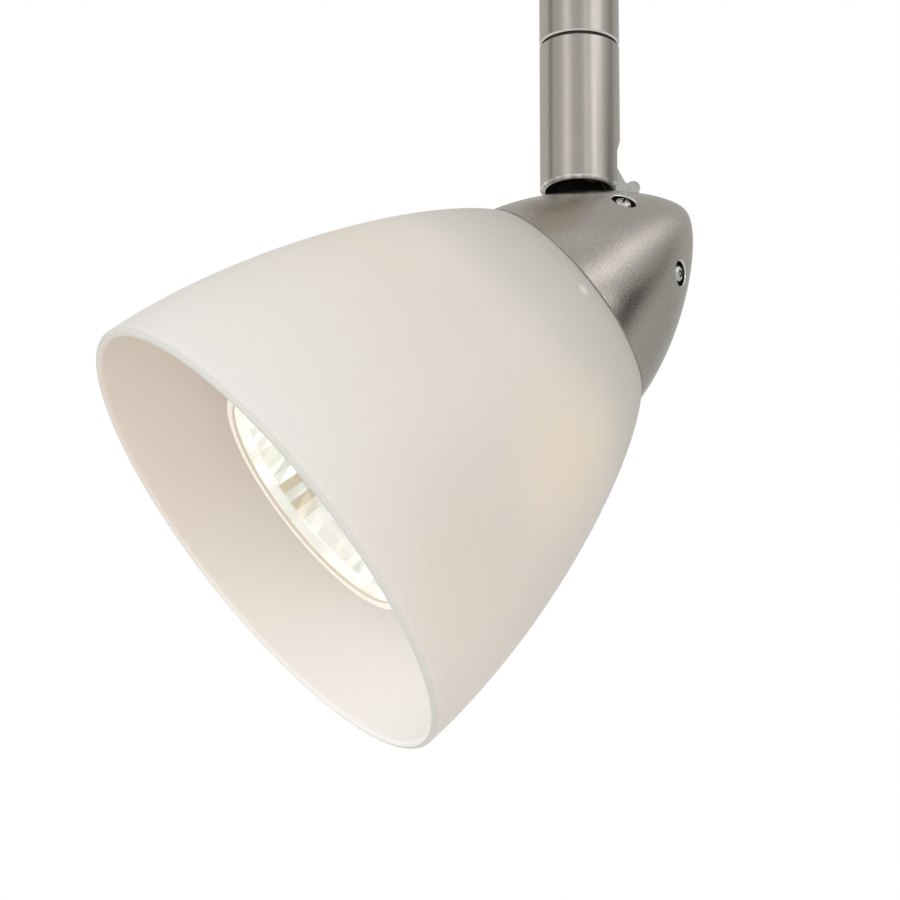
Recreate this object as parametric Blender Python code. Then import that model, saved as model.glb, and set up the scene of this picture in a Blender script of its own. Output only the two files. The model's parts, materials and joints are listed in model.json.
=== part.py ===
"""A track light: a glass bell shade on a domed metal cap.

The head tilts and turns on a short stem under a track adapter.
Metres, +Z up. The origin is on the adapter's top face, which lies against the track, on the stem's axis.
The track runs along X. At rest the head aims along -Y and down, and it tilts about X.
"""

import math

import bmesh
import bpy
from mathutils import Matrix, Vector

MM = 0.001

# Track adapter
HOUSING_LENGTH = 96 * MM
HOUSING_WIDTH = 34 * MM
HOUSING_HEIGHT = 20 * MM
HOUSING_WALL = 1.8 * MM
COVER_THICKNESS = 2.0 * MM
CORNER_RADIUS = 4.0 * MM
BLOCK_LENGTH = 24 * MM
BLOCK_WIDTH = 14 * MM
BLOCK_RISE = 12 * MM
BLOCK_OFFSET = 30 * MM
CONTACT_WIDTH = 4 * MM
CONTACT_LENGTH = 18 * MM
CONTACT_POCKET = 1.9 * MM
CONTACT_BULGE = 3.2 * MM
CONTACT_SHEET = 0.5 * MM
GROUND_OFFSET = -28 * MM
CORNER_POST = 5.4 * MM
COVER_SCREW_INSET = 4.4 * MM
COVER_SCREW_LENGTH = 11 * MM
LOCK_X = -44.2 * MM
LOCK_TAB_BOTTOM = -13.5 * MM
LOCK_TAB_TOP = 5 * MM
LOCK_SPRING_RADIUS = 1.5 * MM
LOCK_SPRING_WIRE = 0.3 * MM
LOCK_SPRING_TURNS = 4

# Stem
TUBE_RADIUS = 7.5 * MM
TUBE_BORE = 6.5 * MM
PLUG_RADIUS = 6.4 * MM
UPPER_TUBE_LENGTH = 38 * MM
SEAM_GAP = 0.5 * MM
SLEEVE_LENGTH = 29.5 * MM
SHANK_RADIUS = 4.0 * MM
SHANK_CLEARANCE = 0.1 * MM
LEAD_BORE = 2.4 * MM
NIPPLE_RADIUS = 4.8 * MM
NIPPLE_THREAD = 4.95 * MM
NIPPLE_BORE = 3.4 * MM
SPINDLE_STUB_RADIUS = 3.6 * MM
STOP_PIN_RADIUS = 0.6 * MM
STOP_PIN_OFFSET = -5.6 * MM
TUBE_CHAMFER = 0.25 * MM

# Tilting knuckle
PIVOT_HEIGHT = 7.0 * MM
PIVOT_OFFSET = 3.0 * MM
PIN_RADIUS = 1.25 * MM
ARM_HALF_WIDTH = 2.4 * MM
ARM_SHEET = 0.8 * MM
ARM_HUB_RADIUS = 3.0 * MM
ARM_KNUCKLE_RADIUS = 1.3 * MM
ARM_NECK_SLOPE = math.radians(-49.3)
ARM_NECK_TOP = 1.49 * MM
ARM_NECK_BOTTOM = -1.6 * MM
ARM_KNUCKLE = (7.2 * MM, -5.23 * MM)
PIN_HALF_LENGTH = 4.6 * MM
PIN_CLEARANCE = 0.08 * MM
FORK_HALF_GAP = 2.7 * MM
FORK_OUTER = 4.2 * MM
FORK_EYE_RADIUS = 3.0 * MM
KNUCKLE_RADIUS = 6.35 * MM
FORK_TOP = 12.8 * MM
SLOT_WIDTH = 7.2 * MM
SLOT_HEIGHT = 10.4 * MM
SLEEVE_LIP = 0.35 * MM

# Head: stations run along the head's axis from the dome's crown
AIM_FROM_DOWN = math.radians(48.9)
AXIS_DROP = 20.2 * MM
AXIS_STATION = 24.18 * MM
CROWN_STATION = -1.95 * MM
CROWN_PULL = 5.2 * MM
CAP_LENGTH = 29.0 * MM
CAP_RADIUS = 22.45 * MM
CAP_WALL = 1.4 * MM
CAP_EDGE_PULL = 14.5 * MM
CAP_EDGE_TAPER = 0.24
CAP_SCREW_STATION = 9.85 * MM
CAP_SCREW_RADIUS = 13.2 * MM
CAP_SCREW_ANGLES = (63, 144, 243, 324)
CAP_SCREW_HEAD = 2.1 * MM
CAP_SCREW_SHANK = 1.2 * MM
CAP_SCREW_LENGTH = 4.6 * MM
CAP_SCREW_SEAT = 0.75 * MM
SHADE_END = 101.3 * MM
SHADE_RADIUS = 47.5 * MM
SHADE_WALL = 2.2 * MM
RIM_WALL = 1.7 * MM
SHADE_NECK_PULL = (9.9 * MM, 10.5 * MM)
SHADE_RIM_PULL = (1.75 * MM, 29 * MM)
FLANGE_TOP = 22.2 * MM
FLANGE_BOTTOM = 24.4 * MM
GASKET = 0.6 * MM
LAMP_FRONT = 89.4 * MM
LAMP_RADIUS = 25.0 * MM
LAMP_PIN_SPACING = 10 * MM
LAMP_TWIST = math.radians(35)
LAMP_NECK = 49 * MM
LAMP_PIN_RADIUS = 1.2 * MM
LAMP_PIN_HEAD = 2.45 * MM
LAMP_WALL = 1.2 * MM
PLATE_BACK = 9.4 * MM
PLATE_SEAT = 13.4 * MM
PLATE_FRONT = 15.2 * MM
HOLDER_RADIUS = 13.2 * MM
HOLDER_TOP = 15.5 * MM
HOLDER_FACE = 42 * MM
COLLAR_RADIUS = 16.6 * MM
COLLAR_BACK = 19.4 * MM
COLLAR_FRONT = 21.2 * MM
TAPPED_RADIUS = 1.3 * MM
THROUGH_RADIUS = 1.35 * MM
LEAD_HOLE_RADIUS = 1.9 * MM
HOLDER_SCREW_OFFSET = 5.5 * MM
HOLDER_SCREW_DROP = -2 * MM
PIN_SLOT_RADIUS = 2.8 * MM
ARM_SCREW_RISE = 5.2 * MM
LEAD_RISE = 10.2 * MM
ARM_OUTER_RISE = 8.2 * MM
ARM_INNER_RISE = 11.2 * MM
FOOT_TOP = 12.0 * MM
FOOT_BOTTOM = 13.1 * MM
FOOT_LOW = 2.6 * MM

FIT_GAP = 0.3 * MM
LEAD_RADIUS = 0.6 * MM
LEAD_SIDE = LEAD_RADIUS + 0.15 * MM
LEAD_DROP = 14 * MM

# The lower leads' way past the pin and down the arm, in millimetres as (y, z) from the tilt axis
LEAD_THROUGH_ARM = (
    (1.5, 2.8),
    (2.2, 1.2),
    (2.2, -0.8),
    (2.2, -2.1),
    (2.9, -3.5),
    (4.1, -4.9),
    (4.75, -5.9),
)

# Heights that follow from the sizes above
TUBE_TOP = -HOUSING_HEIGHT - FIT_GAP
SEAM_TOP = TUBE_TOP - UPPER_TUBE_LENGTH
SLEEVE_TOP = SEAM_TOP - SEAM_GAP
SLEEVE_BOTTOM = SLEEVE_TOP - SLEEVE_LENGTH
PIVOT = Vector((0, PIVOT_OFFSET, SLEEVE_BOTTOM + PIVOT_HEIGHT))
AIM = Vector((0, -math.sin(AIM_FROM_DOWN), -math.cos(AIM_FROM_DOWN)))
CROWN = Vector((0, 0, SLEEVE_BOTTOM - AXIS_DROP)) - AXIS_STATION * AIM
FLOOR_TOP = -HOUSING_HEIGHT + HOUSING_WALL
ALONG_X = Matrix.Rotation(math.pi / 2, 4, "Y")


def clear_scene():
    for old in list(bpy.data.objects):
        bpy.data.objects.remove(old)


def material(name, colour, roughness, metallic):
    made = bpy.data.materials.new(name)
    made.use_nodes = True
    shader = made.node_tree.nodes["Principled BSDF"]
    shader.inputs["Base Color"].default_value = (*colour, 1)
    shader.inputs["Roughness"].default_value = roughness
    shader.inputs["Metallic"].default_value = metallic
    made.diffuse_color = (*colour, 1)
    return made


def empty(name, place, tilt=0.0):
    """A frame for a moving body: it sits on the body's joint axis."""
    frame = bpy.data.objects.new(name, None)
    frame.location = place
    frame.rotation_euler = (tilt, 0, 0)
    bpy.context.collection.objects.link(frame)
    return frame


def finish_mesh(name, bm, mat, parent, place=(0, 0, 0)):
    """Turns the bmesh into an object with its faces pointing out."""
    bmesh.ops.remove_doubles(bm, verts=bm.verts, dist=1e-7)
    bmesh.ops.recalc_face_normals(bm, faces=bm.faces)
    mesh = bpy.data.meshes.new(name)
    bm.to_mesh(mesh)
    bm.free()
    mesh.shade_smooth()
    mesh.set_sharp_from_angle(angle=math.radians(35))
    if mat:
        mesh.materials.append(mat)
    made = bpy.data.objects.new(name, mesh)
    made.location = place
    made.parent = parent
    bpy.context.collection.objects.link(made)
    return made


def turned(name, profile, mat=None, parent=None, place=(0, 0, 0), steps=24, turn=None):
    """A solid of revolution about local Z from (radius, height) points.

    A profile that starts and ends on the axis stays open there, and any other closes on itself.
    """
    bm = bmesh.new()
    points = [bm.verts.new((radius, 0, height)) for radius, height in profile]
    edges = [bm.edges.new(pair) for pair in zip(points, points[1:])]
    if profile[0][0] > 0 or profile[-1][0] > 0:
        edges.append(bm.edges.new((points[-1], points[0])))
    bmesh.ops.spin(
        bm, geom=points + edges, cent=(0, 0, 0), axis=(0, 0, 1), angle=math.tau, steps=steps, use_merge=False
    )
    bmesh.ops.remove_doubles(bm, verts=bm.verts, dist=1e-7)
    if turn:
        bmesh.ops.transform(bm, matrix=turn, verts=bm.verts)
    return finish_mesh(name, bm, mat, parent, place)


def disc(radius, low, high, bore=0.0):
    """The profile of a plain cylinder or, with a bore, of a tube."""
    if bore:
        return [(bore, low), (radius, low), (radius, high), (bore, high)]
    return [(0, low), (radius, low), (radius, high), (0, high)]


def prism(name, outline, low, high, axis="Z", mat=None, parent=None, place=(0, 0, 0)):
    """An outline pushed from low to high along an axis. Its points are on the other two axes, in order."""
    along = "XYZ".index(axis)
    bm = bmesh.new()
    ends = []
    for level in (low, high):
        corners = []
        for first, second in outline:
            point = [first, second]
            point.insert(along, level)
            corners.append(bm.verts.new(point))
        ends.append(corners)
        bm.faces.new(corners)
    count = len(outline)
    for i in range(count):
        j = (i + 1) % count
        bm.faces.new((ends[0][i], ends[0][j], ends[1][j], ends[1][i]))
    return finish_mesh(name, bm, mat, parent, place)


def rectangle(width, depth, x=0.0, y=0.0):
    return [
        (x - width / 2, y - depth / 2),
        (x + width / 2, y - depth / 2),
        (x + width / 2, y + depth / 2),
        (x - width / 2, y + depth / 2),
    ]


def arc(x, y, radius, start, end, steps):
    """Points on an arc from one angle to another, in degrees."""
    points = []
    for i in range(steps + 1):
        angle = math.radians(start + (end - start) * i / steps)
        points.append((x + radius * math.cos(angle), y + radius * math.sin(angle)))
    return points


def rounded_rectangle(width, depth, radius, x=0.0, y=0.0):
    points = []
    for quarter, (sx, sy) in enumerate(((1, 1), (-1, 1), (-1, -1), (1, -1))):
        corner_x = x + sx * (width / 2 - radius)
        corner_y = y + sy * (depth / 2 - radius)
        points += arc(corner_x, corner_y, radius, 90 * quarter, 90 * quarter + 90, 4)
    return points


def arc_slot(radius, half_width, start, end):
    """A slot with round ends that follows a circle about the origin, between two angles in degrees."""
    points = arc(0, 0, radius + half_width, start, end, 5)
    for angle, inner in ((end, True), (start, False)):
        x = radius * math.cos(math.radians(angle))
        y = radius * math.sin(math.radians(angle))
        turned_by = 0 if inner else 180
        points += arc(x, y, half_width, angle + turned_by, angle + turned_by + 180, 8)[1:-1]
        if inner:
            points += arc(0, 0, radius - half_width, end, start, 3)
    return points


def hexagon(across_flats):
    return arc(0, 0, across_flats / math.sqrt(3), 0, 300, 5)


def combine(target, other, operation):
    """Adds an EXACT Boolean, and hides the other mesh as its helper."""
    step = target.modifiers.new(other.name, "BOOLEAN")
    step.object = other
    step.operation = operation
    other.hide_render = True
    other.display_type = "WIRE"


def cut(target, *cutters):
    for cutter in cutters:
        combine(target, cutter, "DIFFERENCE")


def join(target, *others):
    for other in others:
        combine(target, other, "UNION")


def bezier(start, start_pull, end_pull, end, steps):
    """Points along a cubic curve, ends included."""
    points = []
    for i in range(steps + 1):
        t = i / steps
        weights = ((1 - t) ** 3, 3 * t * (1 - t) ** 2, 3 * t**2 * (1 - t), t**3)
        pulls = (start, start_pull, end_pull, end)
        points.append(tuple(sum(w * p[k] for w, p in zip(weights, pulls)) for k in (0, 1)))
    return points


def inset_curve(points, depth_at):
    """The curve moved towards the axis by a depth that may change along it. Points are (radius, station)."""
    moved = []
    for i, (radius, station) in enumerate(points):
        before = points[max(i - 1, 0)]
        after = points[min(i + 1, len(points) - 1)]
        run = Vector((after[0] - before[0], after[1] - before[1])).normalized()
        depth = depth_at(i / (len(points) - 1))
        moved.append((radius - run.y * depth, station + run.x * depth))
    return moved


def radius_at(curve, station):
    """The curve's radius where it crosses a station. The curve is a list of (radius, station)."""
    for (r0, s0), (r1, s1) in zip(curve, curve[1:]):
        if s0 <= station <= s1:
            return r0 + (r1 - r0) * (station - s0) / (s1 - s0)
    return curve[-1][0]


def dome_curve(steps):
    """The cap's outer curve as (radius, station), from the crown to the edge."""
    edge = (CAP_RADIUS, CAP_LENGTH)
    edge_pull = (CAP_RADIUS - CAP_EDGE_TAPER * CAP_EDGE_PULL, CAP_LENGTH - CAP_EDGE_PULL)
    return bezier((0, CROWN_STATION), (CROWN_PULL, CROWN_STATION), edge_pull, edge, steps)


def shade_curve(steps):
    """The bell's outer curve as (radius, station), from under the cap's edge to the rim."""
    start = (CAP_RADIUS + 0.1 * MM, CAP_LENGTH + 0.3 * MM)
    start_pull = (start[0] + SHADE_NECK_PULL[0], start[1] + SHADE_NECK_PULL[1])
    end_pull = (SHADE_RADIUS - SHADE_RIM_PULL[0], SHADE_END - SHADE_RIM_PULL[1])
    return bezier(start, start_pull, end_pull, (SHADE_RADIUS, SHADE_END), steps)


def lead(name, route, mat, parent=None):
    """A round insulated wire through hand-placed points, smoothed by a Catmull-Rom curve."""
    points = [Vector(p) for p in route]
    padded = [2 * points[0] - points[1], *points, 2 * points[-1] - points[-2]]
    fine = []
    per_span = 3
    for i in range(len(points) - 1):
        a, b, c, d = padded[i : i + 4]
        for j in range(per_span):
            t = j / per_span
            bend = (2 * a - 5 * b + 4 * c - d) * t**2
            twist = (3 * b - a - 3 * c + d) * t**3
            fine.append(0.5 * (2 * b + (c - a) * t + bend + twist))
    fine.append(points[-1])
    curve = bpy.data.curves.new(name, "CURVE")
    curve.dimensions = "3D"
    curve.bevel_depth = LEAD_RADIUS
    curve.bevel_resolution = 1
    curve.use_fill_caps = True
    spline = curve.splines.new("POLY")
    spline.points.add(len(fine) - 1)
    for point, place in zip(spline.points, fine):
        point.co = (*place, 1)
    curve.materials.append(mat)
    made = bpy.data.objects.new(name, curve)
    made.parent = parent
    bpy.context.collection.objects.link(made)
    return made


def add_housing(mats):
    tray = prism(
        "adapter_housing",
        rounded_rectangle(HOUSING_LENGTH, HOUSING_WIDTH, CORNER_RADIUS),
        -HOUSING_HEIGHT,
        -COVER_THICKNESS - FIT_GAP,
        mat=mats["housing"],
    )
    inner_length = HOUSING_LENGTH - 2 * HOUSING_WALL
    inner_width = HOUSING_WIDTH - 2 * HOUSING_WALL
    long_pocket = prism("pocket_long", rectangle(inner_length, inner_width - 2 * CORNER_POST), FLOOR_TOP, MM)
    wide_pocket = prism("pocket_wide", rectangle(inner_length - 2 * CORNER_POST, inner_width), FLOOR_TOP, MM)
    nipple_hole = turned("nipple_hole", disc(NIPPLE_RADIUS + 0.2 * MM, -HOUSING_HEIGHT - MM, 0))
    finger_outline = rectangle(6 * MM, 8.6 * MM, -HOUSING_LENGTH / 2, 0)
    finger_slot = prism("finger_slot", finger_outline, -15 * MM, -8 * MM)
    cut(tray, long_pocket, wide_pocket, nipple_hole, finger_slot)
    cover = prism(
        "adapter_cover",
        rounded_rectangle(HOUSING_LENGTH, HOUSING_WIDTH, CORNER_RADIUS),
        -COVER_THICKNESS,
        0,
        mat=mats["housing"],
    )
    gap = 2 * FIT_GAP
    for name, x in (("contact_window", BLOCK_OFFSET), ("ground_window", GROUND_OFFSET)):
        window = prism(name, rectangle(BLOCK_LENGTH + gap, BLOCK_WIDTH + gap, x, 0), -3 * MM, MM)
        cut(cover, window)
    lock_window = prism("lock_window", rectangle(3.2 * MM, 10.6 * MM, LOCK_X, 0), -3 * MM, MM)
    cut(cover, lock_window)
    screw_x = HOUSING_LENGTH / 2 - COVER_SCREW_INSET
    screw_y = HOUSING_WIDTH / 2 - COVER_SCREW_INSET
    corners = [(sx * screw_x, sy * screw_y) for sx in (-1, 1) for sy in (-1, 1)]
    for number, (x, y) in enumerate(corners, 1):
        deep = -COVER_SCREW_LENGTH - MM
        sunk = [(0, deep), (1.2 * MM, deep), (1.2 * MM, -1.3 * MM), (2.5 * MM, 0), (2.5 * MM, MM), (0, MM)]
        hole = turned(f"cover_hole_{number}", sunk, place=(x, y, 0), steps=16)
        cut(cover, hole)
        cut(tray, hole)
        add_screw(f"cover_screw_{number}", mats["steel"], (x, y, 0))


def add_screw(name, mat, place):
    """A countersunk cover screw with a cross recess, its head just under the cover's face."""
    top = -0.15 * MM
    screw = turned(
        name,
        [(0, -COVER_SCREW_LENGTH), (1.0 * MM, -COVER_SCREW_LENGTH), (1.0 * MM, top - 1.25 * MM)]
        + [(1.95 * MM, top - 0.15 * MM), (1.95 * MM, top), (0, top)],
        mat,
        place=place,
        steps=12,
    )
    for axis, size in (("a", (2.6 * MM, 0.6 * MM)), ("b", (0.6 * MM, 2.6 * MM))):
        cut(screw, prism(f"{name}_recess_{axis}", rectangle(*size), top - 0.7 * MM, MM, place=place))


def add_contacts(mats):
    """The two raised blocks that enter the track, and their brass contacts."""
    blocks = {}
    for name, x in (("contact_head", BLOCK_OFFSET), ("ground_block", GROUND_OFFSET)):
        outline = rounded_rectangle(BLOCK_LENGTH, BLOCK_WIDTH, MM, x, 0)
        blocks[name] = prism(name, outline, -9 * MM, BLOCK_RISE, mat=mats["plastic"])
    side = BLOCK_WIDTH / 2
    for name, sign in (("hot_contact", 1), ("neutral_contact", -1)):
        pocket = prism(
            f"{name}_pocket",
            rectangle(CONTACT_LENGTH, 2 * CONTACT_POCKET, BLOCK_OFFSET, sign * side),
            BLOCK_RISE - 8 * MM,
            BLOCK_RISE - 2 * MM,
        )
        cut(blocks["contact_head"], pocket)
        add_leaf(name, mats["brass"], BLOCK_OFFSET, sign)
    slot = prism(
        "ground_pocket",
        rectangle(CONTACT_LENGTH, CONTACT_WIDTH + 2 * MM, GROUND_OFFSET, 0),
        BLOCK_RISE - CONTACT_POCKET,
        BLOCK_RISE + MM,
    )
    cut(blocks["ground_block"], slot)
    strip = leaf_outline(GROUND_OFFSET, BLOCK_RISE - CONTACT_POCKET + FIT_GAP, 1)
    prism("ground_contact", strip, -CONTACT_WIDTH / 2, CONTACT_WIDTH / 2, "Y", mats["brass"])


def leaf_outline(x, foot, sign):
    """A bowed spring strip: it bulges from foot in the direction of sign."""
    half = CONTACT_LENGTH / 2 - MM
    steps = 12
    outer = []
    inner = []
    for i in range(steps + 1):
        along = -half + 2 * half * i / steps
        rise = CONTACT_BULGE * math.cos(math.pi * along / (2 * half)) ** 2
        outer.append((x + along, foot + sign * (rise + CONTACT_SHEET)))
        inner.append((x + along, foot + sign * rise))
    return outer + inner[::-1]


def add_leaf(name, mat, x, sign):
    foot = sign * (BLOCK_WIDTH / 2 - CONTACT_POCKET + FIT_GAP)
    middle = BLOCK_RISE - 5 * MM
    half = CONTACT_WIDTH / 2
    prism(name, leaf_outline(x, foot, sign), middle - half, middle + half, "Z", mat)


def add_lock(mats):
    """The spring tab that holds the adapter in the track. It slides down to let go."""
    frame = empty("lock_slide", (LOCK_X, 0, 0))
    half = 5 * MM
    shoulder = 3.4 * MM
    outline = [(-half, LOCK_TAB_BOTTOM), (half, LOCK_TAB_BOTTOM), (half, shoulder), (shoulder, LOCK_TAB_TOP)]
    outline += [(-shoulder, LOCK_TAB_TOP), (-half, shoulder)]
    plate = prism("lock_tab", outline, -1.25 * MM, 1.25 * MM, "X", mats["plastic"], frame)
    ledge_outline = rectangle(8 * MM, 7.6 * MM, -4.6 * MM, 0)
    join(plate, prism("lock_ledge", ledge_outline, -10.4 * MM, -8.6 * MM, "Z", None, frame))
    low = FLOOR_TOP + 2 * LOCK_SPRING_WIRE
    high = LOCK_TAB_BOTTOM - 2 * LOCK_SPRING_WIRE
    curve = bpy.data.curves.new("lock_spring", "CURVE")
    curve.dimensions = "3D"
    curve.bevel_depth = LOCK_SPRING_WIRE
    curve.bevel_resolution = 0
    curve.use_fill_caps = True
    count = 9 * LOCK_SPRING_TURNS + 1
    spline = curve.splines.new("POLY")
    spline.points.add(count - 1)
    for i, point in enumerate(spline.points):
        angle = math.tau * LOCK_SPRING_TURNS * i / (count - 1)
        height = low + (high - low) * i / (count - 1)
        point.co = (LOCK_SPRING_RADIUS * math.cos(angle), LOCK_SPRING_RADIUS * math.sin(angle), height, 1)
    curve.materials.append(mats["steel"])
    spring = bpy.data.objects.new("lock_spring", curve)
    spring.location = (LOCK_X, 0, 0)
    bpy.context.collection.objects.link(spring)


def add_stem(mats):
    """What hangs from the adapter and does not turn: nipple, upper tube and the swivel's bearing."""
    nickel = mats["nickel"]
    steel = mats["steel"]
    turned("stem_nipple", disc(NIPPLE_RADIUS, TUBE_TOP - 7 * MM, -12.5 * MM, NIPPLE_BORE), steel)
    washer = disc(7.6 * MM, FLOOR_TOP + 0.1 * MM, FLOOR_TOP + 0.9 * MM, NIPPLE_RADIUS + 0.2 * MM)
    turned("stem_washer", washer, steel)
    nut_low = FLOOR_TOP + MM
    nut = prism("stem_nut", hexagon(14 * MM), nut_low, nut_low + 3.4 * MM, mat=steel)
    cut(nut, turned("stem_nut_bore", disc(NIPPLE_THREAD, -HOUSING_HEIGHT, 0)))
    turned("tube_plug", disc(PLUG_RADIUS, TUBE_TOP - 9 * MM, TUBE_TOP - 0.1 * MM, NIPPLE_THREAD), steel)
    turned(
        "upper_tube",
        [(TUBE_BORE, SEAM_TOP), (TUBE_RADIUS - TUBE_CHAMFER, SEAM_TOP)]
        + [(TUBE_RADIUS, SEAM_TOP + TUBE_CHAMFER), (TUBE_RADIUS, TUBE_TOP), (TUBE_BORE, TUBE_TOP)],
        nickel,
        steps=48,
    )
    bore = SHANK_RADIUS + SHANK_CLEARANCE
    turned("swivel_plug", disc(PLUG_RADIUS, SEAM_TOP + 0.1 * MM, SEAM_TOP + 6.8 * MM, bore), steel)
    washer = disc(7.0 * MM, SLEEVE_TOP + 0.1 * MM, SEAM_TOP - 0.1 * MM, bore + 0.1 * MM)
    turned("swivel_washer", washer, mats["nylon"])
    pin = disc(STOP_PIN_RADIUS, SEAM_TOP + 6.9 * MM, SEAM_TOP + 10.4 * MM)
    turned("stop_pin", pin, steel, place=(0, STOP_PIN_OFFSET, 0), steps=16)


def add_swivel(mats):
    """What turns about the stem: spindle, sleeve and the fork that holds the tilt pin."""
    nickel = mats["nickel"]
    steel = mats["steel"]
    frame = empty("pan_axis", (0, 0, SEAM_TOP))
    high = -SEAM_TOP
    flange_low = SLEEVE_TOP - 6.2 * MM
    stub_low = flange_low - 6.0 * MM
    shank_top = SEAM_TOP + 12 * MM
    profile = [
        (LEAD_BORE, stub_low),
        (SPINDLE_STUB_RADIUS, stub_low),
        (SPINDLE_STUB_RADIUS, flange_low),
        (PLUG_RADIUS, flange_low),
        (PLUG_RADIUS, SLEEVE_TOP),
        (SHANK_RADIUS, SLEEVE_TOP),
        (SHANK_RADIUS, shank_top),
        (LEAD_BORE, shank_top),
    ]
    turned("swivel_spindle", [(r, z + high) for r, z in profile], steel, frame)
    washer_low = 6.95 * MM
    bore = SHANK_RADIUS + SHANK_CLEARANCE
    turned("spring_washer", disc(4.85 * MM, washer_low, washer_low + 0.4 * MM, bore), steel, frame)
    nut_low = washer_low + 0.5 * MM
    nut_high = nut_low + 3 * MM
    nut = turned("spindle_nut", disc(4.8 * MM, nut_low, nut_high, bore), steel, frame)
    join(nut, prism("nut_tab", rectangle(1.4 * MM, 1.8 * MM, 0, 5.2 * MM), nut_low, nut_high, parent=frame))
    bottom = SLEEVE_BOTTOM - SEAM_TOP
    top = SLEEVE_TOP - SEAM_TOP
    sleeve = turned(
        "knuckle_sleeve",
        [(TUBE_BORE, bottom + SLEEVE_LIP), (TUBE_BORE + SLEEVE_LIP, bottom)]
        + [(TUBE_RADIUS - SLEEVE_LIP, bottom)]
        + [(TUBE_RADIUS, bottom + SLEEVE_LIP), (TUBE_RADIUS, top - TUBE_CHAMFER)]
        + [(TUBE_RADIUS - TUBE_CHAMFER, top)]
        + [(TUBE_BORE, top)],
        nickel,
        frame,
        steps=48,
    )
    half = SLOT_WIDTH / 2
    slot = [(-half, bottom - MM), (half, bottom - MM)] + arc(0, bottom + SLOT_HEIGHT - half, half, 0, 180, 12)
    cut(sleeve, prism("arm_slot", slot, 4 * MM, 9 * MM, "Y", parent=frame))
    block_top = flange_low + high - FIT_GAP
    fork_top = bottom + FORK_TOP
    pivot = bottom + PIVOT_HEIGHT
    socket = SPINDLE_STUB_RADIUS + 0.1 * MM
    block = turned(
        "knuckle_block",
        [(LEAD_BORE, fork_top), (KNUCKLE_RADIUS, fork_top), (KNUCKLE_RADIUS, block_top), (socket, block_top)]
        + [(socket, stub_low + high - FIT_GAP), (LEAD_BORE, stub_low + high - FIT_GAP)],
        steel,
        frame,
    )
    cheek = arc(PIVOT_OFFSET, pivot, FORK_EYE_RADIUS, 180, 304, 8)
    cheek += [(cheek[-1][0], fork_top + MM), (PIVOT_OFFSET - FORK_EYE_RADIUS, fork_top + MM)]
    for side, sign in (("left", -1), ("right", 1)):
        faces = sorted((sign * FORK_HALF_GAP, sign * FORK_OUTER))
        join(block, prism(f"fork_cheek_{side}", cheek, *faces, "X", None, frame))
    axis = (0, PIVOT_OFFSET, pivot)
    pin_hole = disc(PIN_RADIUS + PIN_CLEARANCE, -9 * MM, 9 * MM)
    cut(block, turned("pin_hole", pin_hole, None, frame, axis, 18, ALONG_X))
    end = PIN_HALF_LENGTH
    chamfer = PIN_RADIUS - 1.0 * MM
    pin = [(0, -end), (PIN_RADIUS - chamfer, -end), (PIN_RADIUS, chamfer - end)]
    pin += [(PIN_RADIUS, end - chamfer), (PIN_RADIUS - chamfer, end), (0, end)]
    turned("tilt_pin", pin, steel, frame, axis, 18, ALONG_X)
    for side, sign in (("left", -1), ("right", 1)):
        low = ARM_HALF_WIDTH + 0.05 * MM
        faces = sorted((sign * low, sign * (low + 0.2 * MM)))
        washer = disc(2.8 * MM, *faces, THROUGH_RADIUS)
        turned(f"tilt_washer_{side}", washer, mats["nylon"], frame, axis, 24, ALONG_X)


def add_head(mats):
    """What tilts: arm, cap, lampholder and shade. Its frames lie on the tilt axis and on the dome's crown."""
    tilt = empty("tilt_axis", PIVOT)
    head = empty("head_axis", CROWN, math.pi - AIM_FROM_DOWN)
    add_arm(mats, tilt, head)
    cap = add_cap(mats, head)
    add_head_plate(mats, head, cap)
    add_lampholder(mats, head)
    add_shade(mats, head)
    add_lamp(mats, head)


def in_side_view(station, rise):
    """A point of the head's middle plane as (y, z) about the tilt axis, from its station and its rise."""
    up = Vector((0, -math.cos(AIM_FROM_DOWN), math.sin(AIM_FROM_DOWN)))
    place = CROWN + station * AIM + rise * up - PIVOT
    return (place.y, place.z)


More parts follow.
